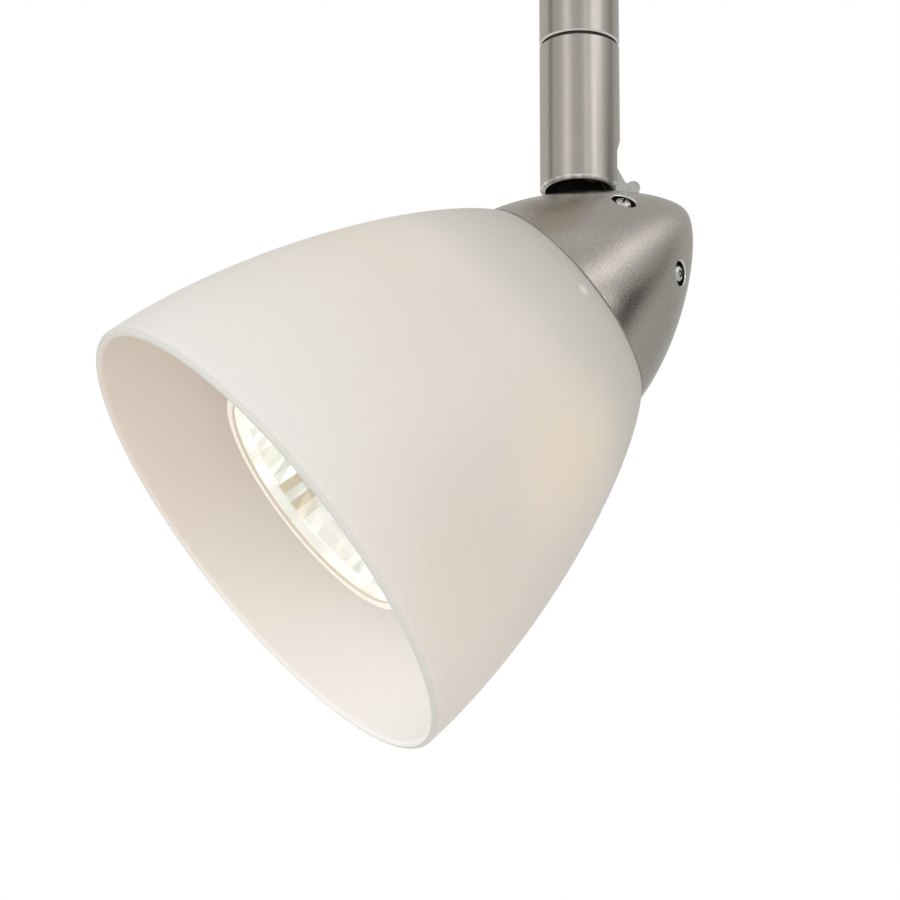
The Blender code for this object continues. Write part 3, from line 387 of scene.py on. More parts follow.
def satin_nickel(name, along, around, roughness, grain, lines_depth):
    """Brushed and plated nickel: fine lines around the axis, a grain, and faint clouds of tone."""
    tint = (0.60, 0.565, 0.515)
    m = Nodes(name)
    m.set(colour=tint, metallic=1.0, roughness=roughness, anisotropic=0.2)
    tangent = m.add("ShaderNodeTangent", direction_type="RADIAL", axis="Z")
    m.link(tangent.outputs[0], m.shader.inputs["Tangent"])
    lines = m.noise(m.around_axis(along, around), 1.0, 3.0, 0.6)
    clouds = m.noise(m.coordinates(), 160.0, 3.0, 0.55)
    toned = m.mix(m.spread(clouds, 0, 1, 0.35, 0.65), darkened(tint, 0.1), tint)
    specks = m.noise(m.coordinates(), 2300.0, 3.0, 0.6)
    toned = m.mix(m.spread(specks, 0, 1, 0.42, 0.56), darkened(tint, 0.35 * grain), toned)
    toned = m.mix(m.spread(lines, 0.0, 1.0, 0.3, 0.7), darkened(tint, 1.2 * lines_depth), toned)
    m.link(toned, m.shader.inputs["Base Color"])
    m.link(m.spread(lines, roughness - 0.04, roughness + 0.05), m.shader.inputs["Roughness"])
    lined = m.bump(lines, lines_depth, 0.02 * MM)
    m.link(m.bump(specks, grain, 0.06 * MM, lined), m.shader.inputs["Normal"])
    return m.material


def bright_metal(
    name, tint=(0.78, 0.77, 0.74), roughness=0.16, scale=900.0, unevenness=0.08, wear=0.12, metallic=1.0
):
    """Polished or pressed metal with faint handling marks."""
    m = Nodes(name)
    m.set(colour=tint, metallic=metallic, roughness=roughness)
    marks = m.noise(m.coordinates(), scale, 4.0, 0.6)
    m.link(m.spread(marks, roughness - 0.04, roughness + 0.1), m.shader.inputs["Roughness"])
    worn = m.mix(m.spread(marks, 0, 1, 0.4, 0.7), tint, darkened(tint, wear))
    m.link(worn, m.shader.inputs["Base Color"])
    m.link(m.bump(marks, unevenness, 0.03 * MM), m.shader.inputs["Normal"])
    return m.material


def grained(name, colour, roughness, grain=2600.0, **extra):
    """Moulded plastic, rubber, ceramic or cloth sleeving: a fine grain, and a little unevenness in colour."""
    m = Nodes(name)
    m.set(colour=colour, roughness=roughness, **extra)
    fine = m.noise(m.coordinates(), grain, 4.0, 0.6)
    broad = m.noise(m.coordinates(), grain / 30, 2.0, 0.5)
    m.link(m.mix(broad, darkened(colour, 0.12), colour), m.shader.inputs["Base Color"])
    m.link(m.spread(fine, roughness - 0.06, min(roughness + 0.08, 1.0)), m.shader.inputs["Roughness"])
    m.link(m.bump(fine, 0.25, 0.06 * MM), m.shader.inputs["Normal"])
    return m.material


def on_head(degrees, radius, station):
    """A point of the head about its axis, from its angle above the side."""
    turn = math.radians(degrees)
    return (radius * math.cos(turn), radius * math.sin(turn), station)


GLASS_SHADE_GLOW_AND_DOT = (
    # centre, reach and colour of a patch of painted shade, a painted warm glow of the lamp and a small pale
    # dot
    (on_head(-45, 43 * MM, 84 * MM), 34 * MM, (0.79, 0.725, 0.67)),
    (on_head(-50, 38 * MM, 55 * MM), 21 * MM, (1.0, 0.84, 0.69)),
    (on_head(-13, 24.8 * MM, 32 * MM), 1.7 * MM, (0.9, 0.89, 0.86)),
)


def opal_glass(name):
    """Acid-etched opal glass: faintly warm, lit through its thickness, with slight blown waves. Its colour
    also holds painted light: painted shade near the cap and on its lower side, and a painted warm glow of the
    lamp along the middle of the bell.
    """
    m = Nodes(name)
    m.set(
        colour=(0.86, 0.845, 0.82),
        roughness=0.42,
        ior=1.5,
        subsurface=0.55,
        subsurface_scale=6 * MM,
        subsurface_radius=(1.0, 0.9, 0.75),
        specular=0.45,
    )
    split = m.add("ShaderNodeSeparateXYZ")
    m.link(m.coordinates(), split.inputs[0])
    station = split.outputs["Z"]
    clouds = m.noise(m.coordinates(), 30.0, 2.0, 0.5)
    # painted light: the middle of the bell is warmer, a painted warm glow of the lamp with clouds of tone,
    # fading to the plain glass colour towards the rim
    warm = m.mix(m.spread(clouds, 0.0, 1.0, 0.42, 0.66), (0.91, 0.83, 0.75), (0.92, 0.82, 0.72))
    towards_rim = m.spread(station, 0.0, 1.0, 58 * MM, SHADE_END)
    body = m.mix(towards_rim, warm, (0.90, 0.875, 0.84))
    # painted shade: the lower side of the bell is darker and warmer
    underside_shade = m.spread(split.outputs["Y"], 0.0, 0.8, 5 * MM, -40 * MM)
    body = m.mix(underside_shade, body, (0.88, 0.80, 0.735))
    # painted shade: the glass just past the cap is dark grey, lightening away from the cap
    past_cap = m.spread(station, 0.0, 1.0, CAP_LENGTH, 44 * MM)
    neck = m.mix(past_cap, (0.62, 0.60, 0.56), (0.78, 0.75, 0.69))
    toned = m.mix(m.spread(station, 0.0, 1.0, 43 * MM, 50 * MM), neck, body)
    # the patch of painted shade, the painted warm glow of the lamp and the pale dot
    for centre, reach, colour in GLASS_SHADE_GLOW_AND_DOT:
        toned = m.mix(m.near(centre, reach), toned, colour)
    edge = m.spread(station, 0.0, 1.0, SHADE_END - 0.5 * MM, SHADE_END)
    m.link(m.mix(edge, toned, (0.72, 0.72, 0.68)), m.shader.inputs["Base Color"])
    etch = m.noise(m.coordinates(), 5200.0, 2.0, 0.5)
    m.link(m.spread(etch, 0.38, 0.46), m.shader.inputs["Roughness"])
    waves = m.noise(m.coordinates(), 55.0, 1.0, 0.4)
    waved = m.bump(waves, 0.08, 0.6 * MM)
    m.link(m.bump(etch, 0.06, 0.02 * MM, waved), m.shader.inputs["Normal"])
    return m.material


def opal_inside(name):
    """The bell's smooth inner face, with painted light: painted warm shade above the lamp, painted light that
    whitens it below, and a faint painted glow from its emission.
    """
    m = Nodes(name)
    m.set(roughness=0.45, emission=0.03, emission_colour=(1.0, 0.97, 0.93))
    split = m.add("ShaderNodeSeparateXYZ")
    m.link(m.coordinates(), split.inputs[0])
    # painted light: whiter towards the bottom of the bell, warmer and darker above
    fall = m.spread(split.outputs["Y"], 0.0, 1.0, 28 * MM, -34 * MM)
    waves = m.noise(m.coordinates(), 45.0, 2.0, 0.5)
    upper = m.mix(waves, (0.88, 0.81, 0.74), (0.86, 0.77, 0.69))
    m.link(m.mix(fall, upper, (0.99, 0.98, 0.965)), m.shader.inputs["Base Color"])
    m.link(m.spread(waves, 0.40, 0.50), m.shader.inputs["Roughness"])
    m.link(m.bump(waves, 0.05, 0.4 * MM), m.shader.inputs["Normal"])
    return m.material


def clear_glass(name, tint):
    """Pressed or drawn clear glass with a faint ripple."""
    m = Nodes(name)
    m.set(colour=tint, roughness=0.02, ior=1.5, transmission=1.0)
    ripple = m.noise(m.coordinates(), 180.0, 1.0, 0.4)
    m.link(m.bump(ripple, 0.04, 0.2 * MM), m.shader.inputs["Normal"])
    m.link(m.spread(ripple, 0.02, 0.04), m.shader.inputs["Roughness"])
    return m.material


def mirror_facets(name, tint=(0.93, 0.92, 0.87), glow=0.0):
    """The lamp's coated bowl: bright and a little uneven, with a painted glow from its emission as if lit
    from within.
    """
    m = Nodes(name)
    m.set(colour=tint, metallic=1.0, roughness=0.18, emission=glow, emission_colour=tint)
    patches = m.noise(m.coordinates(), 160.0, 1.0, 0.4)
    paler = tuple(min(channel * 1.05, 1.0) for channel in tint)
    m.link(m.mix(m.spread(patches, 0, 1, 0.42, 0.62), paler, tint), m.shader.inputs["Base Color"])
    fine = m.noise(m.coordinates(), 1500.0, 2.0, 0.5)
    m.link(m.spread(fine, 0.12, 0.24), m.shader.inputs["Roughness"])
    return m.material


MATS = {
    "nickel_cap": satin_nickel("satin_nickel_cap", 5000, 9.0, 0.18, 0.55, 0.1),
    "nickel_tube": satin_nickel("satin_nickel_tube", 7000, 1.5, 0.2, 0.05, 0.05),
    "bright": bright_metal("bright_steel"),
    "arm": bright_metal("pressed_steel", (0.60, 0.59, 0.57), 0.24, 1400.0, 0.3),
    "edge": bright_metal("polished_edge", (0.95, 0.93, 0.90), 0.16, 2200.0, 0.5),
    # painted highlight: the lip's near-white, half-metal colour stays bright under the lights; its strong
    # wear noise darkens it in blotches
    "lip": bright_metal("polished_lip_painted_highlight", (0.99, 0.97, 0.94), 0.2, 420.0, 0.9, 0.75, 0.5),
    # painted shade: near black in the tube bores, the walls of the screw seats and the screws' cross recesses
    "bore": bright_metal("bore_painted_shade", (0.10, 0.095, 0.09), 0.45),
    "zinc": bright_metal("zinc_steel", (0.60, 0.60, 0.60), 0.3),
    "brass": bright_metal("contact_brass", (0.80, 0.60, 0.28), 0.25),
    "housing": grained("silver_plastic", (0.62, 0.60, 0.56), 0.42),
    "plastic": grained("black_plastic", (0.022, 0.022, 0.024), 0.5),
    "nylon": grained("dark_nylon", (0.03, 0.03, 0.03), 0.6),
    "opal": opal_glass("opal_glass"),
    "opal_inside": opal_inside("opal_glass_inside"),
    "aluminium": bright_metal("cast_aluminium", (0.68, 0.68, 0.69), 0.42, 500.0),
    "ceramic": grained("white_ceramic", (0.86, 0.85, 0.81), 0.5, 1800.0),
    "silicone": grained("clear_silicone", (0.78, 0.76, 0.72), 0.5),
    "lens": clear_glass("lamp_glass", (1.0, 0.995, 0.98)),
    "mirror": mirror_facets("lamp_mirror"),
    # the facet tones are the coating's colours; their emission is a painted glow, strongest in the white
    # facets
    "facet_white": mirror_facets("lamp_mirror_white", (0.94, 0.96, 0.935), 0.36),
    "facet_green": mirror_facets("lamp_mirror_green", (0.83, 0.88, 0.83), 0.24),
    "facet_gold": mirror_facets("lamp_mirror_gold", (0.74, 0.66, 0.44), 0.12),
    "facet_tan": mirror_facets("lamp_mirror_tan", (0.86, 0.81, 0.70), 0.22),
    # the lamp's rim glass and its edge lines glow: a painted glow
    "lamp_rim": grained(
        "lamp_rim_glass_painted_glow", (0.91, 0.85, 0.76), 0.25, emission=0.27, emission_colour=(1, 0.93, 0.84)
    ),
    "lamp_line": grained(
        "lamp_rim_edge_painted_glow", (0.82, 0.73, 0.58), 0.3, emission=0.06, emission_colour=(1, 0.9, 0.75)
    ),
    "tungsten": bright_metal("tungsten", (0.42, 0.40, 0.38), 0.35, 3000.0),
    "quartz": clear_glass("quartz", (0.97, 0.98, 1.0)),
    "dark_sleeve": grained("black_sleeving", (0.03, 0.03, 0.032), 0.6, 3000.0),
    "pale_sleeve": grained("white_sleeving", (0.83, 0.81, 0.77), 0.6, 3000.0),
}

CAD_MATERIALS = {
    "zinc": (
        "cover_screw_1 cover_screw_2 cover_screw_3 cover_screw_4 stem_nipple stem_washer stem_nut "
        "tube_plug swivel_plug stop_pin swivel_spindle spring_washer spindle_nut knuckle_block tilt_pin "
        "arm_screw holder_screw_1 holder_screw_2 lamp_pin_1 lamp_pin_2"
    ),
    "arm": "hinge_arm",
    "brass": "hot_contact neutral_contact ground_contact holder_contact_1 holder_contact_2",
    "housing": "adapter_housing adapter_cover",
    "plastic": "contact_head ground_block lock_tab",
    "nylon": "swivel_washer tilt_washer_left tilt_washer_right",
    "aluminium": "head_plate",
    "ceramic": "lampholder shade_ring lamp_base",
    "silicone": "gasket_rear gasket_front",
}
ROUNDED_NODES = "adapter_housing adapter_cover contact_head ground_block lock_tab knuckle_block"


def finish_cad_nodes():
    """Gives the CAD nodes that are seen as they are their materials and softer edges."""
    for key, names in CAD_MATERIALS.items():
        for name in names.split():
            node = frame["nodes"][name]
            node.data.materials.clear()
            node.data.materials.append(MATS[key])
            node.data.set_sharp_from_angle(angle=math.radians(SHARP_ANGLE))
    for name in ROUNDED_NODES.split():
        soften(frame["nodes"][name], 0.2 * MM)


# ---------------------------------------------------------------- stem


def add_upper_tube():
    """The fixed tube, with polished chamfers at its ends."""
    profile = [(TUBE_BORE, SEAM_TOP), (TUBE_RADIUS - TUBE_CHAMFER, SEAM_TOP)]
    profile += [(TUBE_RADIUS, SEAM_TOP + TUBE_CHAMFER), (TUBE_RADIUS, TUBE_TOP - TUBE_CHAMFER)]
    profile += [(TUBE_RADIUS - TUBE_CHAMFER, TUBE_TOP), (TUBE_BORE, TUBE_TOP)]
    tube = turned("upper_tube_fine", profile, MATS["nickel_tube"], "adapter")
    # painted shade: the bore is near black
    paint(tube, MATS["bore"], lambda centre, normal: off_axis(centre) < TUBE_BORE + HAIR)
    paint(tube, MATS["edge"], lambda centre, normal: 0.3 < abs(normal.z) < 0.9)
    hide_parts("upper_tube")


def add_sleeve():
    """The lower tube, with the slot that its arm swings in and a polished lip at its foot, which holds a
    painted highlight.
    """
    lip = 0.65 * MM
    inner_lip = 0.3 * MM
    profile = arc(TUBE_BORE + inner_lip, SLEEVE_BOTTOM + inner_lip, inner_lip, 180, 270, 4)
    profile += arc(TUBE_RADIUS - lip, SLEEVE_BOTTOM + lip, lip, 270, 360, 6)
    profile += [(TUBE_RADIUS, SLEEVE_TOP - TUBE_CHAMFER), (TUBE_RADIUS - TUBE_CHAMFER, SLEEVE_TOP)]
    profile += [(TUBE_BORE, SLEEVE_TOP)]
    sleeve = turned("knuckle_sleeve_fine", profile, MATS["nickel_tube"])
    half = SLOT_WIDTH / 2
    outline = [(-half, SLEEVE_BOTTOM - MM), (half, SLEEVE_BOTTOM - MM)]
    outline += arc(0, SLEEVE_BOTTOM + SLOT_HEIGHT - half, half, 0, 180, 24)
    # painted shade: the bore is near black
    paint(sleeve, MATS["bore"], lambda centre, normal: off_axis(centre) < TUBE_BORE + HAIR)
    paint(sleeve, MATS["edge"], lambda centre, normal: normal.z > 0.1)
    # painted highlight on the lip
    paint(sleeve, MATS["lip"], lambda centre, normal: normal.z < -0.1)
    cut(sleeve, prism("slot_cutter", outline, 4 * MM, 9 * MM, "Y", MATS["edge"]))
    soften(sleeve, 0.1 * MM)
    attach(sleeve, "swivel")
    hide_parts("knuckle_sleeve")


# ---------------------------------------------------------------- head


def dome_curve(steps):
    """The cap's outer profile, from its crown to its edge."""
    crown = (0, CROWN_STATION)
    crown_pull = (5.2 * MM, CROWN_STATION)
    edge_pull = (CAP_RADIUS - 0.24 * 14.5 * MM, CAP_LENGTH - 14.5 * MM)
    return bezier(crown, crown_pull, edge_pull, (CAP_RADIUS, CAP_LENGTH), steps)


def shade_curve(steps):
    """The bell's outer profile, from the cap's edge to its rim."""
    start = (CAP_RADIUS + 0.1 * MM, CAP_LENGTH + 0.3 * MM)
    start_pull = (start[0] + 9.9 * MM, start[1] + 10.5 * MM)
    end_pull = (SHADE_RADIUS - 1.75 * MM, SHADE_END - 29 * MM)
    return bezier(start, start_pull, end_pull, (SHADE_RADIUS, SHADE_END), steps)


def screw_frame(degrees):
    """The place of a cap screw: on the dome, its Z pointing square into the metal."""
    swing = math.radians(degrees)
    outward = Vector((math.sin(swing), math.cos(swing), 0))
    towards_axis, towards_rim = 0.8, 0.6
    inward = -towards_axis * outward + Vector((0, 0, towards_rim))
    seat = CAP_SCREW_RADIUS * outward + Vector((0, 0, CAP_SCREW_STATION))
    return Matrix.Translation(seat) @ inward.to_track_quat("Z", "Y").to_matrix().to_4x4()


def add_cap():
    """The spun cap, cut for the hinge arm and for its four screws."""
    outer = dome_curve(48)
    inner = inset_curve(outer, lambda along: CAP_WALL)
    inner[0] = (0, CROWN_STATION + CAP_WALL)
    inner[-1] = (inner[-1][0], CAP_LENGTH)
    outer[-1] = (CAP_RADIUS - HAIR, CAP_LENGTH + HAIR)
    outer.insert(-1, (CAP_RADIUS, CAP_LENGTH - HAIR))
    cap = turned("cap_fine", outer + inner[::-1], MATS["nickel_cap"], steps=192)
    opening = [(-2.8, -1.95), (2.8, -1.95), (2.8, 1.95), (-2.8, 1.95)]
    outline = [(x * MM, y * MM + ARM_RISE) for x, y in opening]
    cut(cap, prism("arm_cutter", outline, CROWN_STATION - MM, 11 * MM, "Z", None))
    # radius and depth in millimetres of the bevelled, stepped and bored seat of a screw
    recess = [(0, -2), (3.2, -2), (2.95, -0.15), (2.35, 0.3), (2.35, 1.15), (1.45, 1.15), (1.45, 3), (0, 3)]
    bevel_end = 0.31 * MM
    for degrees in CAP_SCREW_ANGLES:
        profile = [(r * MM, z * MM) for r, z in recess]
        cutter = turned("recess_cutter", profile, MATS["edge"], steps=48)
        # painted shade: the seat's walls below its bevel are near black
        paint(cutter, MATS["bore"], lambda centre, normal: centre.z > bevel_end)
        cutter.matrix_world = screw_frame(degrees)
        cut(cap, cutter)
    cap.matrix_world = HEAD
    soften(cap, 0.1 * MM, 35)
    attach(cap, "head")
    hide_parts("cap")


def add_cap_screws():
    """Polished button heads with a cross recess, sunk in their seats. Each is turned its own way."""
    # radius and depth in millimetres: a domed head, a short rim and the shank
    head = [(0, -0.1)]
    arc_steps = 8
    for i in range(1, arc_steps + 1):
        angle = math.pi / 2 * i / arc_steps
        head.append((1.6 * math.sin(angle), 0.9 - 1.0 * math.cos(angle)))
    head += [(1.6, 1.05), (1.2, 1.1), (1.2, 4.6), (0, 4.6)]
    profile = [(r * MM, z * MM) for r, z in head]
    corners = ((-1, -1), (1, -1), (1, 1), (-1, 1))
    for number, degrees in enumerate(CAP_SCREW_ANGLES, 1):
        screw = turned(f"cap_screw_fine_{number}", profile, MATS["bright"], steps=48)
        for width, height in ((1.9, 0.42), (0.42, 1.9)):
            outline = [(x * width / 2 * MM, y * height / 2 * MM) for x, y in corners]
            # painted shade: the cross recess is near black
            cut(screw, prism("slot_cutter", outline, -MM, 0.5 * MM, "Z", MATS["bore"]))
        driven = Matrix.Rotation(math.radians(20 + 35 * number), 4, "Z")
        screw.matrix_world = HEAD @ screw_frame(degrees) @ driven
        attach(screw, "head")
        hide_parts(f"cap_screw_{number}")


def add_shade():
    """The blown bell: a wall that thins to a fire-polished rim, and a neck with a flange inside the cap."""
    flange_bore = 13.9 * MM
    flange_back = 22.2 * MM
    flange_front = 24.4 * MM
    outer = shade_curve(96)
    inner = inset_curve(outer, lambda along: SHADE_WALL + (RIM_WALL - SHADE_WALL) * along)
    inside_cap = inset_curve(dome_curve(48), lambda along: CAP_WALL + 0.5 * MM)
    neck = [p for p in inside_cap if 22.4 * MM < p[1] < 28.4 * MM]
    profile = [(flange_bore, flange_back), (neck[0][0] - 0.3 * MM, flange_back)] + neck
    profile += [
        (neck[-1][0] + 0.1 * MM, CAP_LENGTH + 0.1 * MM),
        (CAP_RADIUS - 0.1 * MM, CAP_LENGTH + 0.12 * MM),
    ]
    profile += outer[:-1]
    middle = ((outer[-1][0] + inner[-1][0]) / 2, SHADE_END - 0.1 * MM)
    profile += arc(middle[0], middle[1], RIM_WALL / 2, 0, 180, 10)
    profile += [p for p in inner[-2::-1] if p[0] > 18.4 * MM]
    profile += [(17.0 * MM, 27.8 * MM), (16.9 * MM, flange_front), (flange_bore, flange_front)]
    shade = turned("glass_shade_fine", profile, MATS["opal"], "head", HEAD, 256)
    # the inner faces take the inside glass, with its painted light
    paint(shade, MATS["opal_inside"], faces_axis)
    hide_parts("glass_shade")


# ---------------------------------------------------------------- lamp


def reflector_curve(steps):
    """The bowl's outer profile, from its neck to its rim."""
    neck = (9.2 * MM, LAMP_NECK)
    neck_pull = (15 * MM, LAMP_NECK + 4 * MM)
    rim_pull = (21.5 * MM, LAMP_FRONT - 18 * MM)
    rim = (LAMP_RADIUS - 0.4 * MM, LAMP_FRONT - 4.0 * MM)
    return bezier(neck, neck_pull, rim_pull, rim, steps)


def add_bowl():
    """The lamp's pressed glass bowl, bored at its neck for the burner."""
    wall = 1.5 * MM
    neck_bore = 6.6 * MM
    rim_back = LAMP_FRONT - 3.6 * MM
    lens_back = LAMP_FRONT - 1.7 * MM
    outer = reflector_curve(30)
    inner = inset_curve(outer, lambda along: wall)
    shell = outer + [(LAMP_RADIUS, rim_back + 0.3 * MM), (LAMP_RADIUS, lens_back)]
    shell += [(LAMP_RADIUS - 1.6 * MM, lens_back)] + inner[:0:-1]
    shell += [(neck_bore, LAMP_NECK + 1.6 * MM), (neck_bore, LAMP_NECK)]
    bowl = turned("lamp_bowl", shell, MATS["mirror"], "lamp", HEAD, 96)

    def inner_wall_near_rim(centre, normal):
        return centre.z > LAMP_FRONT - 6 * MM and centre.dot(normal) < 20 * MM

    # the inner wall near the rim takes the white facets' painted glow
    paint(bowl, MATS["facet_white"], inner_wall_near_rim)
    # the bowl's rim takes the rim glass, with its painted glow
    paint(bowl, MATS["lamp_rim"], lambda centre, normal: off_axis(centre) > LAMP_RADIUS - 1.0 * MM)
    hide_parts("lamp_reflector")


def add_facets():
    """Rows of flat mirror facets in the bowl. They grow towards the rim and lean left and right in turn."""
    step = math.tau / FACET_COLUMNS
    depth = 1.9 * MM
    rows_in_neck = 2
    curve = inset_curve(reflector_curve(FACET_ROWS), lambda along: depth)[rows_in_neck:]
    bm = bmesh.new()
    for row, (low, high) in enumerate(zip(curve, curve[1:])):
        for column in range(FACET_COLUMNS):
            lean = 0.1 * MM * (-1) ** column
            lifted = ((low, 0, lean), (low, 1, -lean), (high, 1, 0), (high, 0, 0))
            corners = []
            for (radius, station), side, lift in lifted:
                turn = (column + side) * step
                reach = radius + lift
                corners.append(bm.verts.new((reach * math.cos(turn), reach * math.sin(turn), station)))
            panel = bm.faces.new(corners)
            panel.material_index = facet_tone(column, row)
    bmesh.ops.recalc_face_normals(bm, faces=bm.faces)
    bmesh.ops.solidify(bm, geom=bm.faces[:], thickness=0.1 * MM)
    mesh = mesh_from("lamp_facets", bm)
    # the facets' materials carry a painted glow
    for key in ("facet_white", "facet_green", "facet_gold", "facet_tan"):
        mesh.materials.append(MATS[key])
    made = put_in_scene("lamp_facets", mesh, HEAD)
    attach(made, "lamp")


def facet_tone(column, row):
    """Which tone of the coating a facet shows, in bands that repeat about the bowl."""
    white, green, gold, tan = range(4)
    place = column % FACET_PERIOD
    if place in (12, 14):
        return gold if row > 5 else tan
    if place in (10, 13, 15):
        return green if (row + place) % 3 == 0 else tan
    if place in (5, 7, 8, 9):
        return green if (row + place) % 3 else white
    if place in (2, 4):
        return green if (row + place) % 2 else white
    return white


def add_lens():
    """The clear front glass in its pale rim, with a darker line at the rim's inner and outer edge."""
    back = LAMP_FRONT - 1.6 * MM
    sunk = LAMP_FRONT - 0.35 * MM
    corner = 0.5 * MM
    profile = [(0, back), (LAMP_RADIUS - 0.3 * MM, back), (LAMP_RADIUS, back + 0.3 * MM)]
    profile += arc(LAMP_RADIUS - corner, LAMP_FRONT - corner, corner, 0, 90, 5)
    profile += [(LAMP_RADIUS - 1.5 * MM, LAMP_FRONT), (LAMP_RADIUS - 1.65 * MM, LAMP_FRONT - 0.13 * MM)]
    profile += [(LAMP_RADIUS - 1.9 * MM, sunk), (0, sunk)]
    lens = turned("lamp_lens_fine", profile, MATS["lens"], "lamp", HEAD)
    # the rim takes the rim glass, with its painted glow
    paint(lens, MATS["lamp_rim"], lambda centre, normal: off_axis(centre) > LAMP_RADIUS - 1.8 * MM)
    inner_line = (1.6 * MM, 1.85 * MM)
    outer_line = (-MM, 0.12 * MM)
    # the darker edge lines also hold a faint painted glow
    for low, high in (inner_line, outer_line):
        paint(lens, MATS["lamp_line"], lambda centre, normal: low < LAMP_RADIUS - off_axis(centre) < high)
    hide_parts("lamp_lens")


def add_burner():
    """The quartz capsule, with the nib where it was sealed."""
    foot = LAMP_NECK + 1.4 * MM
    # radius and height in millimetres
    capsule = [(0, 0), (3.3, 0), (3.3, 6.4), (3.7, 8.5), (4.6, 11), (4.6, 18), (4.2, 20.5), (2.6, 22.8)]
    capsule += [(1.0, 24.2), (0.7, 25.4), (0, 25.5)]
    profile = [(r * MM, foot + z * MM) for r, z in capsule]
    burner = turned("lamp_burner_fine", profile, MATS["quartz"], "lamp", HEAD, 48, 40)
    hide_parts("lamp_burner")


def coil(name, radius, wire, turns, low, high, mat, place):
    """A round wire wound about local Z, with half a flat turn at each end."""
    around = 6
    steps = 20 * turns
    flat = 0.5
    bm = bmesh.new()
    rings = []
    for i in range(steps + 1):
        t = i / steps
        swing = math.tau * turns * t
        rise = min(max((t * turns - flat) / (turns - 2 * flat), 0), 1)
        outward = Vector((math.cos(swing), math.sin(swing), 0))
        centre = radius * outward + Vector((0, 0, low + wire + (high - low - 2 * wire) * rise))
        ring = []
        for k in range(around):
            angle = math.tau * k / around
            reach = math.cos(angle) * outward + Vector((0, 0, math.sin(angle)))
            ring.append(bm.verts.new(centre + wire * reach))
        rings.append(ring)
    for first, second in zip(rings, rings[1:]):
        for k in range(around):
            j = (k + 1) % around
            bm.faces.new((first[k], second[k], second[j], first[j]))
    bm.faces.new(rings[0])
    bm.faces.new(rings[-1][::-1])
    return finish_mesh(name, bm, mat, place=place)


def add_filament():
    """The tungsten coil in the middle of the burner."""
    middle = LAMP_NECK + 16 * MM
    half = 2.6 * MM
    place = HEAD @ Matrix.Translation((0, 0, middle))
    filament = coil("lamp_filament", 1.0 * MM, 0.09 * MM, 12, -half, half, MATS["tungsten"], place)
    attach(filament, "lamp")


# ---------------------------------------------------------------- spring and arm


def add_lock_spring():
    """The coil under the lock tab. Its foot stays on the adapter's floor, and its head reaches the tab's
    foot.
    """
    low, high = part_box("lock_spring")
    middle = (low + high) / 2
    tab_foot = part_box("lock_tab")[0].z
    place = Matrix.Translation((middle.x, middle.y, 0))
    spring = coil("lock_spring_fine", 1.5 * MM, 0.25 * MM, 5, low.z, tab_foot, MATS["zinc"], place)
    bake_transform(spring)
    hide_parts("lock_spring")


def add_arm():
    """The hinge arm with rounded edges and a low knob, which clears the rim of the sleeve."""
    knob_start = 5.9 * MM
    knob_run = 1.6 * MM
    knob_floor = -89 * MM
    knob_drop = Vector((0, -0.5 * MM, -1.3 * MM))
    node = frame["nodes"]["hinge_arm"]
    mesh = node.data.copy()
    for vertex in mesh.vertices:
        here = node.matrix_world @ vertex.co
        share = min(max((here.y - knob_start) / knob_run, 0), 1)
        if here.z > knob_floor and share > 0:
            vertex.co = node.matrix_world.inverted() @ (here + share * knob_drop)
    made = put_in_scene("hinge_arm_fine", mesh, node.matrix_world.copy())
    soften(made, 0.18 * MM)
    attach(made, "head")
    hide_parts("hinge_arm")


# ---------------------------------------------------------------- wiring


def add_lead(node, mat, bends):
    """A sleeved wire in place of a CAD lead. One that runs past the hinge from the stem to the head is baked
    where it lies and rides on no body.
    """
    made = put_in_scene(f"{node}_fine", frame["nodes"][node].data.copy())
    made.data.materials.clear()
    made.data.materials.append(mat)
    made.data.shade_smooth()
    if bends:
        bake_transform(made)
    else:
        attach(made, "adapter")
    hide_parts(node)


# ---------------------------------------------------------------- stage


LIGHT_AIM = Vector((0, -0.03, -0.12))
LIGHTS = (
    # name, place, width and height, power, colour
    ("key", (0.4, -1.1, 0.3), (0.6, 0.6), 3.7, (1, 0.975, 0.94)),
    ("under", (0.5, -0.7, -0.9), (0.7, 0.5), 2.2, (1, 0.98, 0.95)),
    ("side", (1.1, -0.1, -0.3), (0.8, 0.8), 2.5, (1, 0.98, 0.95)),
    ("low", (0.2, 0.6, -1.0), (0.7, 0.7), 2.8, (1, 0.93, 0.86)),
)


def add_lights():
    """Soft area lights aimed at the head. The metal's reflections come from the surroundings instead."""
    for name, place, size, power, colour in LIGHTS:
        light = bpy.data.lights.new(name, "AREA")
        light.shape = "RECTANGLE"
        light.size, light.size_y = size
        light.energy = power
        light.color = colour
        made = put_in_scene(name, light)
        made.location = place
        made.rotation_euler = (LIGHT_AIM - Vector(place)).to_track_quat("-Z", "Y").to_euler()
        made.visible_glossy = False


VIEW_AZIMUTH = math.radians(84.94)
VIEW_ELEVATION = math.radians(-20.94)
VIEW_ROLL = math.radians(0.04)
VIEW_DISTANCE = 1.2
VIEW_TARGET = Vector((0, -24.38 * MM, SLEEVE_BOTTOM - 52.24 * MM))
VIEW_WIDTH = 165.1 * MM
SENSOR_WIDTH = 36


